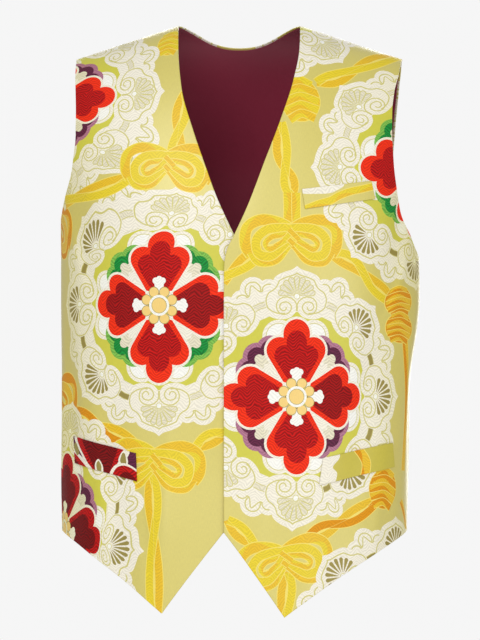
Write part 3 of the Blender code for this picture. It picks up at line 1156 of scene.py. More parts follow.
@dataclass(frozen=True)
class Ball:
    """A round knot of cord wound in bands. Its place, and its width and height as size, in mm.

    The measures of a band are shares of half the height, but its reach is one of half the width, and
    outlines are in mm.
    """

    centre: complex
    size: complex
    turn: float = 0.0
    threads: tuple[Thread, Thread] = (Thread.YELLOW, Thread.AMBER)
    outline: float = 0.9
    bands: tuple[tuple[int, Tone], ...] = (
        (-2, Tone.DARK),
        (2, Tone.LIGHT),
        (-1, Tone.LIGHT),
        (1, Tone.DARK),
        (0, Tone.LIGHT),
    )
    band_step: float = 0.39
    band_reach: float = 0.93
    band_shortens: float = 0.07
    band_droop: float = 0.1
    band_rise: float = 0.14
    band_width: float = 0.36
    band_outline: float = 0.7

    def draw(self, canvas: Canvas) -> None:
        """Draw the bands from the outer ones to the middle one."""
        factor = cmath.exp(1j * math.radians(self.turn))
        wide, tall = self.size.real / 2, self.size.imag / 2
        for grow, thread in ((self.outline, Thread.PALE), (0.0, self.threads[Tone.DARK.value])):
            canvas.fill(self.centre + factor * circle(0, tall + grow, 30, wide / tall), thread)
        for k, tone in self.bands:
            up = k * tall * self.band_step
            reach = wide * (self.band_reach - self.band_shortens * k * k)
            end = complex(reach, up - self.band_droop * tall)
            band = (flipped(end), 1j * (up + self.band_rise * tall), end)
            places = tuple(self.centre + factor * place for place in band)
            width = tall * self.band_width
            thread, shade = self.threads[tone.value], self.threads[1 - tone.value]
            Cord(places, thread, width, shade, self.band_outline).draw(canvas)


Figure = Cord | Twist | Knot | Ball | Patch


@dataclass
class Outline:
    """Closed outline of a piece, counter-clockwise, and which of its edges are sewn on."""

    SHARP = 0.25

    points: Flat
    sewn: np.ndarray

    @classmethod
    def join(cls, parts: Sequence[tuple[Flat, bool]]) -> "Outline":
        """Join stretches of the edge, each with whether it is sewn on.

        Args:
            parts: the stretches, each from the end of the last one.

        Returns:
            The outline.
        """
        points = np.concatenate([part[:-1] for part, _ in parts])
        sewn = np.concatenate([np.full(len(part) - 1, is_sewn) for part, is_sewn in parts])
        if twice_area(points) < 0:
            points = points[::-1]
            sewn = np.roll(sewn[::-1], -1)
        return cls(points, sewn)

    def inset(self, free: float, sewn: float) -> Flat:
        """Move free and sewn edges in by a distance each.

        Args:
            free: distance for free edges, in mm.
            sewn: distance for sewn edges, in mm.

        Returns:
            The points of the smaller outline.
        """
        ahead = np.roll(self.points, -1) - self.points
        inward = 1j * ahead / np.maximum(np.abs(ahead), TINY)
        away = np.where(self.sewn, sewn, free)
        before, away_before = np.roll(inward, 1), np.roll(away, 1)
        sine = (before.conj() * inward).imag
        mean = (before * away_before + inward * away) / 2
        sharp = np.abs(sine) > self.SHARP
        safe = np.where(sharp, sine, 1.0)
        corner = 1j * (before * away - inward * away_before) / safe
        return self.points + np.where(sharp, corner, mean)


@dataclass(frozen=True)
class Weave:
    """The brocade's shader: the threads' colours, their grain and zigzag, gloss and small relief.

    Lengths are in mm of the cloth. warp, weft and blotch are spots of noise in a mm, across and up.
    Shades, gloss and relief are shares. The tint multiplies the colours round the body's sides: painted
    shade.
    """

    name: str
    warp: tuple[float, float, float] = (2.2, 0.22, 1.0)
    warp_shade: float = 0.2
    warp_gloss: float = 0.16
    weft: tuple[float, float, float] = (0.16, 2.4, 1.0)
    weft_shade: float = 0.1
    blotch: float = 0.11
    tooth: float = 8.0
    tooth_height: float = 0.75
    wander: float = 6.0
    row_step: float = 3.3
    row_least: float = 0.4
    row_shade: float = 0.46
    row_dark: float = 0.08
    relief: float = 0.5
    relief_strength: float = 0.35
    relief_depth: float = 0.4 * MM
    # Painted side shade: between these distances across the cloth the colours go over to the tint below.
    side_shade_from: float = 120.0
    side_shade_full: float = 240.0
    tint: tuple[float, float, float, float] = (0.97, 0.94, 0.58, 1.0)
    specular: float = 0.18
    coat_roughness: float = 0.42
    coat_ior: float = 1.75

    def build(self) -> bpy.types.Material:
        """Make the material."""
        graph = Graph(self.name)
        stitches = graph.attribute("thread_colour", "Alpha")
        flat = graph.attribute("flat_mm", "Vector")
        roughness, metallic, coat = graph.parts(graph.attribute("thread_finish", "Vector"))
        across, up, _ = graph.parts(flat)
        grain = graph.noise(graph.stretch(flat, self.warp))
        cross = graph.noise(graph.stretch(flat, self.weft))
        blotches = graph.noise(flat, self.blotch, detail=1.0, roughness=0.5)
        teeth = across.ping_pong(self.tooth) * self.tooth_height
        rows = ((up + teeth + blotches * self.wander) * (2.0 * math.pi / self.row_step)).sine()
        row_shade = rows * (self.row_least + blotches) * self.row_shade - self.row_dark
        shade = (
            1.0
            + (grain - 0.5) * self.warp_shade
            + (cross - 0.5) * self.weft_shade
            + stitches * row_shade
        )
        # The threads' colours, with painted shade darkening them round the sides of the body.
        colour = self._side_shaded(graph, graph.attribute("thread_colour", "Color"), across)
        relief = (grain + cross + stitches * rows) * self.relief
        graph.finish(
            {
                "Base Color": graph.tint(colour, shade),
                "Roughness": roughness + (grain - 0.5) * self.warp_gloss,
                "Metallic": metallic,
                "Coat Weight": coat,
                "Normal": graph.bump(relief, self.relief_strength, self.relief_depth),
            },
            {
                "Specular IOR Level": self.specular,
                "Coat Roughness": self.coat_roughness,
                "Coat IOR": self.coat_ior,
            },
        )
        return graph.material

    def _side_shaded(self, graph: "Graph", colour: "Value", across: "Value") -> "Value":
        """Multiply a colour by the tint round the sides of the body: painted shade, darker and more olive.
        """
        side = graph.node(
            "ShaderNodeMapRange",
            dict(interpolation_type="SMOOTHSTEP"),
            {0: across * across, 1: self.side_shade_from**2, 2: self.side_shade_full**2, 3: 0.0, 4: 1.0},
        )
        inputs = {0: side, 1: colour, 2: self.tint}
        return graph.node("ShaderNodeMixRGB", dict(blend_type="MULTIPLY"), inputs)


@dataclass(frozen=True)
class Satin:
    """The lining's shader: plain satin in one colour with a fine upright grain."""

    name: str
    colour: tuple[float, float, float] = (0.24, 0.018, 0.045)
    roughness: float = 0.4
    warp: tuple[float, float, float] = (3.0, 0.2, 1.0)
    warp_shade: float = 0.3
    warp_gloss: float = 0.15
    relief_strength: float = 0.25
    relief_depth: float = 0.3 * MM
    sheen: float = 0.1

    def build(self) -> bpy.types.Material:
        """Make the material."""
        graph = Graph(self.name)
        warp = graph.stretch(graph.attribute("flat_mm", "Vector"), self.warp)
        grain = graph.noise(warp, roughness=0.5)
        shade = 1.0 + (grain - 0.5) * self.warp_shade
        graph.finish(
            {
                "Base Color": graph.tint(graph.colour(self.colour), shade),
                "Roughness": self.roughness + (grain - 0.5) * self.warp_gloss,
                "Normal": graph.bump(grain, self.relief_strength, self.relief_depth),
            },
            {"Sheen Weight": self.sheen, "Specular IOR Level": 0.5},
        )
        return graph.material


Input = "Value | float | tuple[float, ...]"


@dataclass
class Value:
    """A socket's value, with the operators that add Math nodes."""

    graph: "Graph"
    socket: bpy.types.NodeSocket

    def _math(self, operation: str, *values: Input) -> "Value":
        """Add a Math node."""
        inputs = dict(enumerate(values))
        return self.graph.node("ShaderNodeMath", dict(operation=operation), inputs)

    def __add__(self, other: Input) -> "Value":
        """Add."""
        return self._math("ADD", self, other)

    def __radd__(self, other: Input) -> "Value":
        """Add, the other way round."""
        return self._math("ADD", other, self)

    def __sub__(self, other: Input) -> "Value":
        """Subtract."""
        return self._math("SUBTRACT", self, other)

    def __rsub__(self, other: Input) -> "Value":
        """Subtract from a number."""
        return self._math("SUBTRACT", other, self)

    def __mul__(self, other: Input) -> "Value":
        """Multiply."""
        return self._math("MULTIPLY", self, other)

    def __rmul__(self, other: Input) -> "Value":
        """Multiply, the other way round."""
        return self._math("MULTIPLY", other, self)

    def sine(self) -> "Value":
        """Sine."""
        return self._math("SINE", self)

    def ping_pong(self, length: float) -> "Value":
        """Go up and down between 0 and a length."""
        return self._math("PINGPONG", self, length)


class Graph:
    """A material's nodes."""

    def __init__(self, name: str) -> None:
        """Make a material with its shader."""
        self.material = bpy.data.materials.new(name)
        self.material.use_nodes = True
        self.nodes = self.material.node_tree.nodes
        self.links = self.material.node_tree.links
        self.shader = self.nodes["Principled BSDF"]

    def node(
        self,
        kind: str,
        settings: dict[str, object] | None = None,
        inputs: dict[str | int, Input] | None = None,
        output: str | int = 0,
    ) -> Value:
        """Add a node.

        Args:
            kind: the node's type.
            settings: its own settings, set first.
            inputs: numbers, tuples or values for its sockets.
            output: the socket to give back.

        Returns:
            The value of the output.
        """
        made = self.nodes.new(kind)
        for key, setting in (settings or {}).items():
            setattr(made, key, setting)
        for key, value in (inputs or {}).items():
            self.feed(made.inputs[key], value)
        return Value(self, made.outputs[output])

    def feed(self, socket: bpy.types.NodeSocket, value: Input) -> None:
        """Link a value to a socket, or set a constant on it."""
        if isinstance(value, Value):
            self.links.new(value.socket, socket)
        else:
            socket.default_value = value

    def attribute(self, name: str, output: str) -> Value:
        """Read one output of an attribute of the mesh."""
        return self.node("ShaderNodeAttribute", dict(attribute_name=name), output=output)

    def noise(
        self, place: Value, scale: float = 1.0, detail: float = 2.0, roughness: float = 0.6
    ) -> Value:
        """Add soft flat noise between 0 and 1."""
        sockets = dict(Vector=place, Scale=scale, Detail=detail, Roughness=roughness)
        return self.node("ShaderNodeTexNoise", dict(noise_dimensions="2D"), sockets, "Fac")

    def bump(self, height: Value, strength: float, distance: float) -> Value:
        """Add a small relief from a height."""
        sockets = dict(Strength=strength, Distance=distance, Height=height)
        return self.node("ShaderNodeBump", inputs=sockets, output="Normal")

    def stretch(self, vector: Value, factors: tuple[float, float, float]) -> Value:
        """Scale a vector by three factors."""
        return self.node("ShaderNodeVectorMath", dict(operation="MULTIPLY"), {0: vector, 1: factors})

    def parts(self, vector: Value) -> tuple[Value, Value, Value]:
        """Split a vector."""
        made = self.node("ShaderNodeSeparateXYZ", inputs={0: vector}).socket.node
        return tuple(Value(self, socket) for socket in made.outputs)

    def colour(self, colour: tuple[float, float, float]) -> Value:
        """Add a colour."""
        made = self.node("ShaderNodeRGB")
        made.socket.default_value = (*colour, 1.0)
        return made

    def tint(self, colour: Value, shade: Value) -> Value:
        """Scale a colour's brightness by a value."""
        return self.node("ShaderNodeVectorMath", dict(operation="SCALE"), {0: colour, "Scale": shade})

    def finish(self, linked: dict[str, Input], constants: dict[str, float]) -> None:
        """Feed the shader."""
        for key, value in {**linked, **constants}.items():
            self.feed(self.shader.inputs[key], value)


Surface = Callable[[Flat, float], np.ndarray]
Rolls = tuple[tuple[float, float, float], ...]


@dataclass
class Sheet:
    """One piece of cloth: a flat outline with its pattern, laid on a surface with rolled edges.

    The surface gives the point at a flat place and a distance out of it, in mm. face is how far out
    the shown face is. Facing.IN turns the cloth over, so that it shows on the inside. Each roll of
    the edge is mm out over it, mm down from the face, and degrees turned.
    """

    name: str
    outline: Flat
    canvas: Canvas
    surface: Surface
    material: bpy.types.Material
    facing: Facing = Facing.OUT
    base: Thread = Thread.GROUND
    face: float = 0.0
    spacing: float = 5.0
    rolls: Rolls = (
        (0.5, -0.3, 35.0),
        (0.8, -0.8, 90.0),
        (0.5, -1.3, 145.0),
        (0.0, -1.6, 180.0),
        (-8.0, -1.7, 180.0),
    )
    probe: float = 0.4
    row_share: float = 0.866
    merge: float = 1e-4
    sharpest: float = 0.7
    uv_edge: float = 0.01
    flips: bool = False

    def build(self) -> bpy.types.Object:
        """Make the object."""
        flat, triangles, threads = self._triangulate()
        out = self.facing.value
        lifts = self._lifts(len(flat), triangles, threads)
        points = self.surface(flat, self.face)
        normal, _ = self._directions(flat, None)
        points = points + normal * lifts[:, None] * MM * out
        ring, ring_faces, ring_threads = self._ring(flat, triangles, threads, len(flat))
        everything = np.concatenate([points] + [part["points"] for part in ring])
        normals = np.concatenate([normal * out] + [part["normals"] for part in ring])
        places = np.concatenate([flat] + [part["flat"] for part in ring])
        faces = [tuple(face) for face in triangles] + ring_faces
        indices = np.concatenate((threads, ring_threads)).astype(int)
        if (out < 0) != self.flips:
            faces = [face[::-1] for face in faces]
        mesh = bpy.data.meshes.new(self.name)
        mesh.from_pydata(everything.tolist(), [], faces)
        mesh.materials.append(self.material)
        self._dress(mesh, faces, indices, places)
        mesh.normals_split_custom_set_from_vertices(normals.tolist())
        piece = bpy.data.objects.new(self.name, mesh)
        bpy.context.scene.collection.objects.link(piece)
        log.info("%s: %d points, %d faces", self.name, len(everything), len(faces))
        return piece

    def _triangulate(self) -> tuple[Flat, np.ndarray, np.ndarray]:
        """Cut the outline into triangles along every shape of the pattern.

        Returns:
            The flat points, the triangles, and each triangle's thread.
        """
        start = len(self.outline)
        low = complex(self.outline.real.min(), self.outline.imag.min())
        high = complex(self.outline.real.max(), self.outline.imag.max())
        rows = np.arange(low.imag, high.imag, self.spacing * self.row_share)
        grid = [
            np.arange(low.real + (k % 2) * self.spacing / 2, high.real, self.spacing) + 1j * row
            for k, row in enumerate(rows)
        ]
        drawn = np.concatenate(self.canvas.points) if self.canvas.points else np.zeros(0, complex)
        shapes = [
            (face, thread)
            for face, thread in zip(self.canvas.faces, self.canvas.threads)
            if self._near(drawn[face], low, high)
        ]
        used = sorted({i for face, _ in shapes for i in face})
        where = {old: start + new for new, old in enumerate(used)}
        flat = np.concatenate((self.outline, drawn[used], np.concatenate(grid)))
        faces = [list(range(start))] + [[where[i] for i in face] for face, _ in shapes]
        colours = [THREADS.index(self.base)] + [thread for _, thread in shapes]
        corners = [Vector((p.real, p.imag)) for p in flat]
        cut = delaunay_2d_cdt(corners, [], faces, 0, self.merge, True)
        points = np.array([complex(*p) for p in cut[0]])
        kept = [(face, colours[max(own)]) for face, own in zip(cut[2], cut[5]) if 0 in own]
        triangles = np.array([face for face, _ in kept])
        threads = np.array([thread for _, thread in kept])
        used = np.unique(triangles)
        number = np.zeros(len(points), int)
        number[used] = np.arange(len(used))
        return points[used], number[triangles], threads

    @staticmethod
    def _near(points: Flat, low: complex, high: complex) -> bool:
        """Whether a shape comes near the piece."""
        return bool(
            points.real.max() > low.real
            and points.real.min() < high.real
            and points.imag.max() > low.imag
            and points.imag.min() < high.imag
        )

    def _lifts(self, count: int, triangles: np.ndarray, threads: np.ndarray) -> np.ndarray:
        """Give each point the mean height of the threads around it.

        Args:
            count: how many points there are.
            triangles: the triangles between them.
            threads: each triangle's thread.

        Returns:
            The heights, in mm.
        """
        heights = np.array([thread.value.lift for thread in THREADS])[threads]
        total, number = np.zeros(count), np.zeros(count)
        for corner in range(3):
            np.add.at(total, triangles[:, corner], heights)
            np.add.at(number, triangles[:, corner], 1.0)
        return total / np.maximum(number, 1.0)

    def _directions(self, flat: Flat, toward: Flat | None) -> tuple[np.ndarray, np.ndarray | None]:
        """Give the outward directions at flat places, and those along the cloth toward others.

        Args:
            flat: the flat places.
            toward: flat directions at them, or None.

        Returns:
            The outward directions, and those along the cloth or None.
        """
        step = self.probe
        across = self.surface(flat + step, self.face) - self.surface(flat - step, self.face)
        up = self.surface(flat + 1j * step, self.face) - self.surface(flat - 1j * step, self.face)
        normal = np.cross(across, up) * (-1.0 if self.flips else 1.0)
        normal /= np.linalg.norm(normal, axis=1, keepdims=True)
        if toward is None:
            return normal, None
        along = across * toward.real[:, None] + up * toward.imag[:, None]
        return normal, along / np.maximum(np.linalg.norm(along, axis=1, keepdims=True), 1e-12)

    def _ring(
        self, flat: Flat, triangles: np.ndarray, threads: np.ndarray, start: int
    ) -> tuple[list[dict[str, np.ndarray]], list[tuple[int, ...]], np.ndarray]:
        """Roll the edges under.

        Args:
            flat: the flat points.
            triangles: the triangles between them.
            threads: each triangle's thread.
            start: number of the first new point.

        Returns:
            The points, normals and flat places of each roll, the new faces, and their threads.
        """
        edges = {}
        for triangle, thread in zip(triangles.tolist(), threads.tolist()):
            for a, b in zip(triangle, triangle[1:] + triangle[:1]):
                if edges.pop((b, a), None) is None:
                    edges[(a, b)] = thread
        border = sorted({a for a, _ in edges})
        order = {point: k for k, point in enumerate(border)}
        outward = np.zeros(len(border), complex)
        weights = np.zeros(len(border))
        for a, b in edges:
            way = -1j * (flat[b] - flat[a])
            for point in (a, b):
                outward[order[point]] += way / max(abs(way), TINY) * math.sqrt(abs(way))
                weights[order[point]] += math.sqrt(abs(way))
        outward /= np.maximum(weights, TINY)
        spread = np.clip(np.abs(outward), self.sharpest, 1.0)
        outward = outward / np.maximum(np.abs(outward), TINY) / spread
        places = flat[border]
        normal, along = self._directions(places, outward)
        out = self.facing.value
        base = self.surface(places, self.face)
        stretch = (1.0 / spread)[:, None]
        ring, reached = [], 0.0
        last = (0.0, 0.0)
        for over, down, degrees in self.rolls:
            turn = math.radians(degrees)
            reached += math.hypot(over - last[0], down - last[1])
            last = (over, down)
            points = base + along * over * stretch * MM + normal * down * out * MM
            normals = normal * math.cos(turn) * out + along * math.sin(turn)
            ring.append(dict(points=points, normals=normals, flat=places + outward * reached))
        count = len(border)
        faces, ring_threads = [], []
        for (a, b), thread in edges.items():
            first, second = a, b
            for k in range(len(self.rolls)):
                third, fourth = start + k * count + order[b], start + k * count + order[a]
                faces.append((second, first, fourth, third))
                ring_threads.append(thread)
                first, second = fourth, third
        return ring, faces, np.array(ring_threads)

    def _dress(
        self,
        mesh: bpy.types.Mesh,
        faces: list[tuple[int, ...]],
        threads: np.ndarray,
        places: Flat,
    ) -> None:
        """Write the threads' colours and finishes, the flat places and the map of the cut.

        Args:
            mesh: the mesh to write them to.
            faces: its faces.
            threads: each face's thread.
            places: each point's flat place.
        """
        sizes = np.array([len(face) for face in faces])
        corner_threads = np.repeat(threads, sizes)
        finishes = [thread.value for thread in THREADS]
        colours = np.array([(*f.linear(), f.stitches) for f in finishes])
        gloss = np.array([(f.roughness, f.metallic, f.coat) for f in finishes])
        colour = mesh.attributes.new("thread_colour", "FLOAT_COLOR", "CORNER")
        colour.data.foreach_set("color", colours[corner_threads].ravel())
        finish = mesh.attributes.new("thread_finish", "FLOAT_VECTOR", "CORNER")
        finish.data.foreach_set("vector", gloss[corner_threads].ravel())
        flat = np.stack((places.real, places.imag, np.zeros(len(places))), axis=1)
        layer = mesh.attributes.new("flat_mm", "FLOAT_VECTOR", "POINT")
        layer.data.foreach_set("vector", flat.ravel())
        low, high = flat.min(axis=0), flat.max(axis=0)
        spread = (flat - low) / np.where(high > low, high - low, 1.0)
        uv = mesh.uv_layers.new(name="OFBake")
        corners = np.concatenate([np.array(face) for face in faces])
        inside = self.uv_edge + (1.0 - 2.0 * self.uv_edge) * spread[corners, :2]
        uv.uv.foreach_set("vector", inside.ravel())
        mesh.shade_smooth()


# Points along the stretches of an outline.
POINTS_A_ROW = 6
INNER_HEM_POINTS = 16
OUTER_HEM_POINTS = 60
SHOULDER_POINTS = 30
BACK_POINTS = 50
CENTRE_BACK_POINTS = 80
WELT_POINTS = 12
EDGE_ROWS = np.linspace(0, TOP_ROW, TOP_ROW * POINTS_A_ROW + 1)


def edge_line(cut: Cut, edge: Sequence[Row], at: np.ndarray) -> Flat:
    """Flat line along the table of an edge."""
    return cut.flat(curve(edge, "row", "around", at), curve(edge, "row", "fall", at))


def seam_and_hole(cut: Cut, outer: Sequence[Row], side: Side) -> tuple[Flat, Flat]:
    """Side seam, which leaves its half of a small gap, and armhole.

    Args:
        cut: the flat cloth.
        outer: the outer edge's rows.
        side: the wearer's side.

    Returns:
        The two lines, from the hem up.
    """
    seam = edge_line(cut, outer, EDGE_ROWS[EDGE_ROWS <= SIDE_SEAM_ROW])
    hole = edge_line(cut, outer, EDGE_ROWS[EDGE_ROWS >= SIDE_SEAM_ROW])
    return seam - side.value * SIDE_SEAM_HALF, hole


def front_outline(side: Side, edge_rows: Sequence[Row], tip: Row) -> Outline:
    """Outline of a front.

    Args:
        side: the wearer's side.
        edge_rows: the table of its inner edge.
        tip: its lowest point and how the hem eases from it.

    Returns:
        The outline on the flat cloth.
    """
    inner = []
    for row in edge_rows:
        around, fall = TORSO.place_of(row["x"], row["z"])
        inner.append(dict(row=row["row"], around=float(around), fall=float(fall)))
    inner[-1]["fall"] = SHOULDER_SEAM
    outer = TORSO.armhole(FRONT_ARMHOLES[side], side)
    seam, hole = seam_and_hole(FRONT_CUT, outer, side)
    tip_around, tip_fall = (float(v) for v in TORSO.place_of(tip["x"], tip["z"]))
    first, last = inner[0], outer[0]
    near = np.linspace(0, 1, INNER_HEM_POINTS)
    hem_in = FRONT_CUT.flat(
        first["around"] + (tip_around - first["around"]) * near,
        first["fall"] + (tip_fall - first["fall"]) * near,
    )
    far = np.linspace(0, 1, OUTER_HEM_POINTS)
    hem_out = FRONT_CUT.flat(
        tip_around + (last["around"] - tip_around) * far,
        tip_fall + (last["fall"] - tip_fall) * (1.0 - (1.0 - far) ** tip["curve"]),
    )
    top = np.linspace(0, 1, SHOULDER_POINTS)
    shoulder_around = outer[-1]["around"] + (inner[-1]["around"] - outer[-1]["around"]) * top
    shoulder = FRONT_CUT.flat(shoulder_around, np.full_like(top, SHOULDER_SEAM))
    return Outline.join(
        (
            (hem_in, False),
            (hem_out, False),
            (seam, True),
            (hole, False),
            (shoulder, True),
            (edge_line(FRONT_CUT, inner, EDGE_ROWS)[::-1], False),
        )
    )


@dataclass(frozen=True)
class BackShape:
    """Sizes of the back. mm, and degrees off the centre back for the neck point."""

    neck_drop: float = 22.0
    neck_point: float = 19.1
    neck_curve: float = 2.4
    hem: float = -545.0
    centre_gap: float = 0.1
    short_of_centre: float = 1e-6

    def half(self, side: Side) -> list[tuple[Flat, bool]]:
        """Edges of one half: hem, side seam, armhole, shoulder, neck, from the centre and back."""
        outer = TORSO.armhole(BACK_ARMHOLES[side], side)
        centre = side.value * math.pi
        hem_fall = float(TORSO.fall_of(np.array(-self.hem * MM)))
        neck_fall = float(TORSO.fall_of(np.array(self.neck_drop * MM)))
        neck_around = side.value * math.radians(180.0 - self.neck_point)
        part = np.linspace(0, 1, BACK_POINTS)
        last = outer[0]
        hem = BACK_CUT.flat(
            centre + (last["around"] - centre) * part * (1 - self.short_of_centre),
            hem_fall + (last["fall"] - hem_fall) * part,
        )
        seam, hole = seam_and_hole(BACK_CUT, outer, side)
        top_around = outer[-1]["around"] + (neck_around - outer[-1]["around"]) * part
        shoulder = BACK_CUT.flat(top_around, np.full_like(part, SHOULDER_SEAM))
        near = part[::-1]
        neck_fall_line = SHOULDER_SEAM + neck_fall * (1.0 - near**self.neck_curve)
        neck = BACK_CUT.flat(centre + (neck_around - centre) * near, neck_fall_line)
        hem[0] = 1j * hem[0].imag
        neck[-1] = 1j * neck[-1].imag
        return [(hem, False), (seam, True), (hole, False), (shoulder, True), (neck, False)]

    def half_outline(self, side: Side) -> Outline:
        """Outline of one half, with the centre back seam."""
        parts = self.half(side)
        gap = side.value * self.centre_gap
        parts[0][0][0] += gap
        parts[-1][0][-1] += gap
        centre = np.linspace(parts[-1][0][-1], parts[0][0][0], CENTRE_BACK_POINTS)
        return Outline.join(parts + [(centre, True)])

    def whole_outline(self) -> Outline:
        """Outline of both halves in one piece."""
        left = self.half(Side.LEFT)
        right = [(part[::-1], sewn) for part, sewn in reversed(self.half(Side.RIGHT))]
        return Outline.join(left + right)


def worn_surface(cut: Cut, lap: Lap | None) -> Surface:
    """Surface of the worn cloth for flat places of a cut.

    Args:
        cut: the flat cloth.
        lap: the lap of a front, or None.

    Returns:
        The surface.
    """

    def surface(flat: Flat, out: float) -> np.ndarray:
        """Points at flat places, a distance out in mm."""
        around, fall = cut.worn(flat)
        return TORSO.cloth(around, fall, out * MM, lap)

    return surface


# How far the cloth lies in from its cut, where the lining's face is below the brocade's, and how the
# lining's edges roll, mm.
BROCADE_INSET = dict(free=0.8, sewn=0.5)
LINING_INSET = dict(free=2.2, sewn=-0.2)
LINING_FACE = 2.8
LINING_ROLLS = ((0.25, -0.25, 45.0), (0.3, -0.6, 90.0), (0.1, -1.0, 150.0))


def line_with(
    node: str, outline: Outline, surface: Surface, satin: bpy.types.Material, flips: bool = False
) -> None:
    """Make the lining behind a surface of the worn cloth.

    Args:
        node: the lining's solid.
        outline: its cut.
        surface: the cloth that it lies behind.
        satin: its material.
        flips: whether the cut runs the other way round the torso, as the back's does.
    """
    lining = Sheet(
        f"shown_{node}",
        outline.inset(**LINING_INSET),
        Canvas(),
        surface,
        satin,
        Facing.IN,
        face=-LINING_FACE,
        rolls=LINING_ROLLS,
        flips=flips,
    )
    put_on(lining.build(), node, outline)


def put_on(piece: bpy.types.Object, node: str, outline: Outline) -> None:
    """Let a piece stand for its solid, which it hides, and work out the area of its cut.

    Args:
        piece: the piece.
        node: its solid.
        outline: its cut, in mm.
    """
    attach(piece, "root")
    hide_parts(node)
    area = abs(twice_area(outline.points)) / 2 * MM * MM


@dataclass(frozen=True)
class Front:
    """One front with its lining and its pattern. What is in over isn't moved by the pulls."""

    side: Side
    edge_rows: Sequence[Row]
    tip: Row
    lap: Lap
    medallions: tuple[Medallion, ...]
    cords: tuple[Figure, ...]
    pulls: tuple[Pull, ...]
    over: tuple[Figure, ...] = ()

    def canvas(self) -> Canvas:
        """Draw the front's part of the cloth."""
        canvas = Canvas()
        for cord in self.cords:
            cord.draw(canvas)
        first = len(canvas.points)
        for medallion in self.medallions:
            medallion.draw(canvas)
        for k, points in enumerate(canvas.points[first:], first):
            canvas.points[k] = points + sum(pull.shift(points) for pull in self.pulls)
        for cord in self.over:
            cord.draw(canvas)
        return canvas

    def build(self, brocade: bpy.types.Material, satin: bpy.types.Material) -> None:
        """Make the front and its lining."""
        name = self.side.name.lower()
        outline = front_outline(self.side, self.edge_rows, self.tip)
        surface = worn_surface(FRONT_CUT, self.lap)
        edge = outline.inset(**BROCADE_INSET)
        shown = Sheet(f"shown_front_{name}", edge, self.canvas(), surface, brocade)
        put_on(shown.build(), f"front_{name}", outline)
        line_with(f"lining_front_{name}", outline, surface, satin)


LEAVES = ((Thread.PURPLE, Thread.MAUVE), (Thread.GREEN, Thread.LEAF_RIM))
PURPLE_LEAVES, GREEN_LEAVES = LEAVES


@dataclass(frozen=True)
class Back:
    """The two halves of the back and their one lining. The figures' places are in mm of the cloth."""

    shape: BackShape = BackShape()
    pitch: float = 160.0
    repeat: float = 476.0
    first: float = -150.0
    columns: tuple[int, ...] = (-2, -1, 0, 1)
    rows: tuple[int, ...] = (-1, 0, 1, 2)
    knot_turn: float = 6.0
    twists: tuple[tuple[tuple[complex, ...], float], ...] = (
        ((0j, 60j, 110j), 2.0),
        ((0j, 60 - 40j, 160 - 60j), 3.0),
        ((0j, -60 - 40j, -160 - 60j), 3.0),
    )

    def canvas(self) -> Canvas:
        """Draw the back's part of the cloth, which matches across the centre back seam."""
        canvas = Canvas()
        figures = [
            (complex((column + 0.5) * self.pitch, self.first - row * self.repeat - drop), leaves)
            for column, drop, leaves in zip(self.columns, (0.0, self.repeat / 2) * 2, LEAVES * 2)
            for row in self.rows
        ]
        for centre, _ in figures:
            knot = centre + 0.5j * self.repeat
            for route, lenses in self.twists:
                Twist(tuple(knot + step for step in route), lenses).draw(canvas)
            Knot(knot, self.knot_turn).draw(canvas)
        for centre, leaves in figures:
            Medallion(centre, *leaves).draw(canvas)
        return canvas

    def build(self, brocade: bpy.types.Material, satin: bpy.types.Material) -> None:
        """Make both halves and the lining."""
        surface = worn_surface(BACK_CUT, None)
        canvas = self.canvas()
        for side in Side:
            name = side.name.lower()
            outline = self.shape.half_outline(side)
            edge = outline.inset(**BROCADE_INSET)
            half = Sheet(f"shown_back_{name}", edge, canvas, surface, brocade, flips=True)
            put_on(half.build(), f"back_{name}", outline)
        line_with("lining_back", self.shape.whole_outline(), surface, satin, flips=True)


@dataclass(frozen=True)
class Welt:
    """A pocket welt by its four corners (x, z) in the front view, mm."""

    name: str
    top_in: tuple[float, float]
    top_out: tuple[float, float]
    low_in: tuple[float, float]
    low_out: tuple[float, float]
    lap: Lap
    base: Thread
    cords: tuple[Figure, ...] = ()
    face: float = 1.9
    edge_inset: float = 0.6
    spacing: float = 3.0
    rolls: Rolls = (
        (0.4, -0.25, 40.0),
        (0.6, -0.7, 90.0),
        (0.5, -1.5, 100.0),
    )

    def _measures(self) -> tuple[float, float, float]:
        """Give the welt's length and height in mm, and the sign of its way outwards."""
        length = math.dist(self.low_in, self.low_out)
        height = math.dist(self.low_in, self.top_in)
        return length, height, math.copysign(1.0, self.low_out[0] - self.low_in[0])

    def surface(self) -> Surface:
        """Surface for places along and up the welt, in mm."""
        length, height, way = self._measures()
        corners = np.array([self.low_in, self.low_out, self.top_in, self.top_out])[..., None]

        def surface(flat: Flat, out: float) -> np.ndarray:
            """Points at places of the welt, a distance out in mm."""
            along = flat.real * way / length
            up = flat.imag / height
            low = corners[0] * (1 - along) + corners[1] * along
            top = corners[2] * (1 - along) + corners[3] * along
            x, z = low * (1 - up) + top * up
            return TORSO.cloth(*TORSO.place_of(x, z), out * MM, self.lap)

        return surface

    def build(self, brocade: bpy.types.Material) -> None:
        """Make the welt."""
        length, height, way = self._measures()
        corners = np.array([0, length * way, length * way + 1j * height, 1j * height])
        stretches = zip(corners, np.roll(corners, -1))
        outline = Outline.join([(np.linspace(a, b, WELT_POINTS), False) for a, b in stretches])
        canvas = Canvas()
        for cord in self.cords:
            cord.draw(canvas)
        sheet = Sheet(
            f"shown_{self.name}",
            outline.inset(self.edge_inset, self.edge_inset),
            canvas,
            self.surface(),
            brocade,
            base=self.base,
            face=self.face,
            spacing=self.spacing,
            rolls=self.rolls,
        )
        put_on(sheet.build(), self.name, outline)


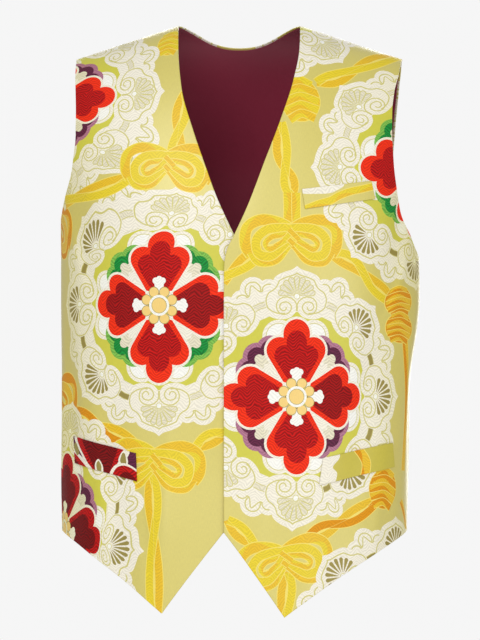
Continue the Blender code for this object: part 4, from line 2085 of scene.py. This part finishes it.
@dataclass(frozen=True)
class Lamp:
    """A square soft lamp turned to the garment: its place and size in metres, and its watts."""

    name: str
    place: tuple[float, float, float]
    size: float
    watts: float
    aim: tuple[float, float, float] = (0.0, 0.0, -0.3)

    def build(self) -> None:
        """Hang the lamp."""
        lamp = bpy.data.lights.new(self.name, "AREA")
        lamp.size = self.size
        lamp.energy = self.watts
        item = bpy.data.objects.new(self.name, lamp)
        item.location = self.place
        way = Vector(self.aim) - Vector(self.place)
        item.rotation_euler = way.to_track_quat("-Z", "Y").to_euler()
        bpy.context.scene.collection.objects.link(item)


@dataclass(frozen=True)
class Studio:
    """Floor, light and camera. Metres."""

    pale: float = 0.92
    fill: float = 0.54
    distance: float = 12.0
    frame_height: float = VIEW_HEIGHT * VIEW_UNIT * MM
    middle: tuple[float, float] = (
        (VIEW_WIDTH / 2 - CENTRE_LINE) * VIEW_UNIT * MM,
        (NECK_LINE - VIEW_HEIGHT / 2) * VIEW_UNIT * MM,
    )
    sensor: float = 36.0
    floor_level: float = -0.79
    floor_radius: float = 1.25
    floor_colour: tuple[float, float, float, float] = (0.9, 0.9, 0.89, 1.0)
    lamps: tuple[Lamp, ...] = (
        Lamp("key", (-0.8, -2.7, 1.1), 1.6, 38.0),
        Lamp("fill", (1.6, -2.4, -0.3), 1.8, 17.0),
        Lamp("back", (0.4, 2.8, 0.3), 1.8, 40.0),
    )

    def build(self) -> None:
        """Set the floor, the lights and the camera."""
        self._world()
        self._floor()
        for lamp in self.lamps:
            lamp.build()
        self._camera()

    def _world(self) -> None:
        """Pale surroundings that give a softer light than they show."""
        world = bpy.data.worlds.new("studio")
        bpy.context.scene.world = world
        world.use_nodes = True
        nodes, links = world.node_tree.nodes, world.node_tree.links
        surroundings = nodes["Background"]
        surroundings.inputs["Color"].default_value = (1.0, 1.0, 1.0, 1.0)
        path = nodes.new("ShaderNodeLightPath")
        strength = nodes.new("ShaderNodeMix")
        strength.inputs[2].default_value = self.fill
        strength.inputs[3].default_value = self.pale
        links.new(path.outputs["Is Camera Ray"], strength.inputs[0])
        links.new(strength.outputs[0], surroundings.inputs["Strength"])
        bpy.context.scene.view_settings.view_transform = "Standard"

    def _floor(self) -> None:
        """A round pale floor under the garment."""
        graph = Graph("floor")
        graph.finish({}, {"Base Color": self.floor_colour, "Roughness": 0.8})
        mesh = bpy.data.meshes.new("floor")
        rim = circle(0, self.floor_radius, 96)
        points = [(p.real, p.imag, self.floor_level) for p in rim]
        mesh.from_pydata(points, [], [tuple(range(len(rim)))])
        mesh.materials.append(graph.material)
        floor = bpy.data.objects.new("floor", mesh)
        bpy.context.scene.collection.objects.link(floor)

    def _camera(self) -> None:
        """The camera, straight in front."""
        camera = bpy.data.cameras.new("camera")
        camera.sensor_fit = "VERTICAL"
        camera.sensor_height = self.sensor
        camera.lens = self.sensor * self.distance / self.frame_height
        camera.clip_end = 100.0
        item = bpy.data.objects.new("camera", camera)
        item.location = (self.middle[0], -self.distance, self.middle[1])
        item.rotation_euler = (math.pi / 2, 0.0, 0.0)
        bpy.context.scene.collection.objects.link(item)
        bpy.context.scene.camera = item


def at(x: float, y: float) -> complex:
    """Flat place of a point of the front view, right of and down from its upper left corner."""
    right, down = (x - CENTRE_LINE) * VIEW_UNIT, (y - NECK_LINE) * VIEW_UNIT
    return complex(FRONT_CUT.flat(*TORSO.place_of(right, -down)))


def view(*points: tuple[float, float]) -> tuple[complex, ...]:
    """Flat places of points of the front view."""
    return tuple(at(x, y) for x, y in points)


def pull(x: float, y: float, right: float, down: float, reach: float) -> Pull:
    """A pull of the cloth as seen in front: its place, way and reach in mm.

    Args:
        x: view units right of the view's upper left corner.
        y: view units down from it.
        right: view units that the cloth moves right.
        down: view units that it moves down.
        reach: how far around it the cloth follows, in mm.

    Returns:
        The pull.
    """
    return Pull(at(x, y), at(x + right, y + down) - at(x, y), reach)


# How far the lapped fronts stand out or in, and view units from a flower's middle to a petal's tip.
LAP_LIFT = 1.85 * MM
FLOWER_REACH = 77.0


def fronts() -> tuple[Front, Front]:
    """The two fronts with the places of their patterns.

    A medallion that the side seam or the neck cuts is placed by the tip of a petal or by a fan's hub.
    """
    right_lap = Lap(-LAP_LIFT, RIGHT_FRONT_EDGE[0]["x"] * MM, Side.RIGHT)
    left_lap = Lap(LAP_LIFT, LEFT_FRONT_EDGE[0]["x"] * MM, Side.LEFT)
    petal_tip = FLOWER_REACH * VIEW_UNIT
    hub = CloudHead().hub * VIEW_UNIT
    # Painted shade: cords, knots and balls round the sides of the body are drawn in these darker threads
    # in place of yellow and amber.
    dark = (Thread.AMBER, Thread.AMBER_IN_SHADE)
    right = Front(
        Side.RIGHT,
        RIGHT_FRONT_EDGE,
        dict(x=-82.0, z=-626, curve=2.1),
        right_lap,
        (
            Medallion(at(118, 94) - petal_tip, *PURPLE_LEAVES, lean=-3.0),
            # This medallion low on the side is drawn in painted shade.
            Medallion(
                at(109, 541) - petal_tip * cmath.exp(-0.157j),
                *PURPLE_LEAVES,
                (6, 7),
                (6,),
                lean=-9.0,
                deep=(0, 1, 2, 3),
                in_painted_shade=True,
            ),
            Medallion(at(159.9, 305.5), *GREEN_LEAVES, (1, 2, 3), (1, 2, 3), deep=(1, 3)),
        ),
        (
            Ball(at(170, 44), 26 + 31j, -10.0),
            Twist(view((186, 94), (180, 125), (176, 158)), 1.6),
            Knot(at(61, 228), 0.0, 1.07, dark),
            Knot(at(62, 395), 0.0, 1.0, dark),
            Twist(view((76, 410), (100, 426), (136, 442)), 2.0, dark),
            Twist(view((196, 446), (210, 438), (226, 432)), 1.0),
            Twist(view((153, 470), (155, 525), (156, 610)), 1.8),
            Knot(at(155, 461), -3.0, 1.0),
        ),
        (
            pull(160, 180, 18, 12, 48),
            pull(92, 303, 7, -2, 36),
            pull(134, 545, -20, 0, 34),
            pull(142, 500, -8, 0, 24),
            pull(93, 232, -1, 13, 24),
            pull(93, 380, 7, -2, 22),
            pull(108, 153, -8, -5, 38),
            pull(150, 95, -5, 0, 36),
            pull(112, 192, -4, -12, 30),
        ),
        (
            Twist(view((134, 178), (100, 191), (66, 203)), 1.2),
            Knot(at(168, 165), -3.0, 0.94),
        ),
    )
    left = Front(
        Side.LEFT,
        LEFT_FRONT_EDGE,
        dict(x=47.6, z=-630, curve=2.03),
        left_lap,
        (
            Medallion(at(360, 167) + petal_tip * cmath.exp(0.05j), *GREEN_LEAVES, (3, 4), (3,), 3.0),
            Medallion(at(395, 545) - hub, *GREEN_LEAVES, (0, 1), (0,)),
            Medallion(at(322, 43) + hub * cmath.exp(0.25j * math.pi), *PURPLE_LEAVES),
            Medallion(at(296.4, 396.0), *PURPLE_LEAVES, (5, 6, 7), (4, 5, 6), deep=(3,)),
        ),
        (
            Ball(at(300, 101), 42 + 48j, 6.0),
            Twist(view((316, 84), (340, 78), (370, 64), (402, 58)), 2.0),
            Twist(view((281, 124), (282, 158), (288, 180), (291, 198)), 2.0),
            Cord(view((287, 194), (287.5, 210), (287, 228)), Thread.AMBER, 8.6, Thread.YELLOW),
            Cord(view((295.5, 194), (295.5, 210), (296, 228)), Thread.YELLOW, 8.6),
            Twist(view((262, 250), (245, 263), (222, 281)), 1.2),
            Twist(view((330, 254), (352, 264), (374, 286), (396, 304)), 2.0),
            Knot(at(291, 238), 0.0, 1.0),
            # These side cords are in painted shade, amber and orange in place of yellow and amber.
            Cord(view((403, 330), (404, 400), (402, 470)), Thread.AMBER, 9.0, Thread.AMBER_IN_SHADE),
            Cord(view((400, 500), (404, 516), (406, 534)), Thread.AMBER, 7.0, Thread.AMBER_IN_SHADE),
            Twist(view((378, 498), (350, 516), (326, 527), (306, 536)), 2.0, dark),
            Twist(view((288, 570), (286, 590), (283, 620)), 1.0),
            Twist(view((228, 518), (240, 530), (254, 542)), 1.0),
            Knot(at(284, 557), 10.0, 0.96),
        ),
        (
            pull(392, 398, -9, 0, 60),
            pull(384, 170, -1, 4, 34),
            pull(357, 100, -6, 4, 28),
            pull(365, 480, -14, 3, 40),
            pull(297, 527, -5, 4, 28),
            pull(372, 318, -7, 2, 40),
        ),
        (
            Ball(at(383, 488), 40 + 42j, -8.0, dark),
            Ball(at(399, 302), 44 + 31j, 4.0, dark),
            Ball(at(399, 328), 44 + 31j, -4.0, dark),
        ),
    )
    return right, left


def welts(right_lap: Lap, left_lap: Lap) -> tuple[Welt, Welt, Welt]:
    """The three welts with what their own cloth shows: ends of a cloud, of cords and of petals."""
    breast = Welt(
        "breast_welt",
        (66.0, -176),
        (139.6, -167),
        (69.2, -197),
        (143.5, -186),
        left_lap,
        Thread.GROUND,
        (
            Cord((-2 - 1j, 15 + 3j, 28 + 5j, 38 + 9j, 51 + 12j, 62 + 13j, 78 + 15j), Thread.YELLOW, 7.5),
            Patch(Thread.IVORY, (-6 + 26j, -2 + 17j, 15 + 14j, 28 + 13j, 36 + 15j, 45 + 20j, 40 + 30j)),
        ),
    )
    pocket_left = Welt(
        "pocket_welt_left",
        (88.3, -461),
        (162.1, -445),
        (84.0, -490),
        (164.2, -471),
        left_lap,
        # The welt's ground is the ground in painted side shade.
        Thread.GROUND_IN_SIDE_SHADE,
        (
            Patch(Thread.IVORY, (-6 - 6j, 14 - 6j, 19 + 8j, 13 + 17j, 20 + 26j, 16 + 38j, -8 + 38j)),
            # This cord is in painted shade, amber and orange in place of yellow and amber.
            Cord((38 + 36j, 47 + 24j, 52 + 12j, 50 - 4j), Thread.AMBER, 8.5, Thread.AMBER_IN_SHADE),
        ),
    )
    pocket_right = Welt(
        "pocket_welt_right",
        (-109.7, -456),
        (-178.6, -438),
        (-108.6, -486),
        (-176.6, -467),
        right_lap,
        Thread.PURPLE,
        (
            # Painted shade: these petal ends take the shaded flower's crimson rims and darkest crimson,
            # and their fan ends the khaki of shaded fans.
            Patch(Thread.IVORY, (-66 + 34j, -10 + 34j, -14 + 16j, -28 - 5j, -46 - 5j, -59 + 10j)),
            Patch(Thread.CRIMSON, (-63 + 34j, -16 + 34j, -21 + 14j, -31 - 5j, -43 - 5j, -56 + 10j)),
            Patch(Thread.CRIMSON_IN_DEEP_SHADE, (-57 + 34j, -22 + 34j, -26 + 14j, -34 - 5j, -41 - 5j, -50 + 10j)),
            Patch(Thread.IVORY, (-78 + 18j, -66 + 14j, -49 + 1j, -52 - 6j, -78 - 6j)),
            Patch(Thread.CRIMSON, (-78 + 15j, -68 + 11j, -54 - 1j, -56 - 6j, -78 - 6j)),
            Patch(Thread.CRIMSON_IN_DEEP_SHADE, (-78 + 10j, -70 + 6j, -60 - 3j, -62 - 6j, -78 - 6j)),
            Patch(Thread.KHAKI, (-67 + 24j, -63 + 15j, -66 + 10j, -70 + 18j)),
            Patch(Thread.IVORY, (-11 + 28j, -9 + 17j, -14 + 11j, -20 + 17j, -15 + 28j)),
            Patch(Thread.KHAKI, (-12 + 26j, -11 + 17j, -14 + 13j, -18 + 17j, -15 + 26j)),
            Patch(Thread.IVORY, (-31 - 4j, -25 + 10j, -13 + 16j, 0 + 13j, 6 + 4j, 0 - 10j, -20 - 12j)),
            Patch(Thread.CRIMSON, (-28 - 4j, -23 + 8j, -13 + 13.5j, -1 + 11j, 4 + 2j, 0 - 10j, -20 - 12j)),
            Patch(Thread.CRIMSON_IN_DEEP_SHADE, (-21 - 4j, -17 + 4j, -11 + 7j, -4 + 5j, 0 - 1j, -2 - 10j, -18 - 10j)),
            Patch(Thread.IVORY, (-41 + 13j, -37 + 6j, -38 - 2j, -44 - 2j, -45 + 6j)),
            Patch(Thread.KHAKI, (-41 + 11j, -38.5 + 6j, -39.5 - 1j, -42.5 - 1j, -43.5 + 6j)),
        ),
    )
    return breast, pocket_left, pocket_right


def main() -> None:
    """Build every piece of the waistcoat and the studio."""
    logging.basicConfig(level=logging.INFO, format="%(name)s: %(message)s")
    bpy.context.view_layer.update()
    brocade = Weave("brocade").build()
    satin = Satin("maroon_satin").build()
    right, left = fronts()
    right.build(brocade, satin)
    left.build(brocade, satin)
    Back().build(brocade, satin)
    for welt in welts(right.lap, left.lap):
        welt.build(brocade)
    Studio().build()


if __name__ == "__main__":
    main()
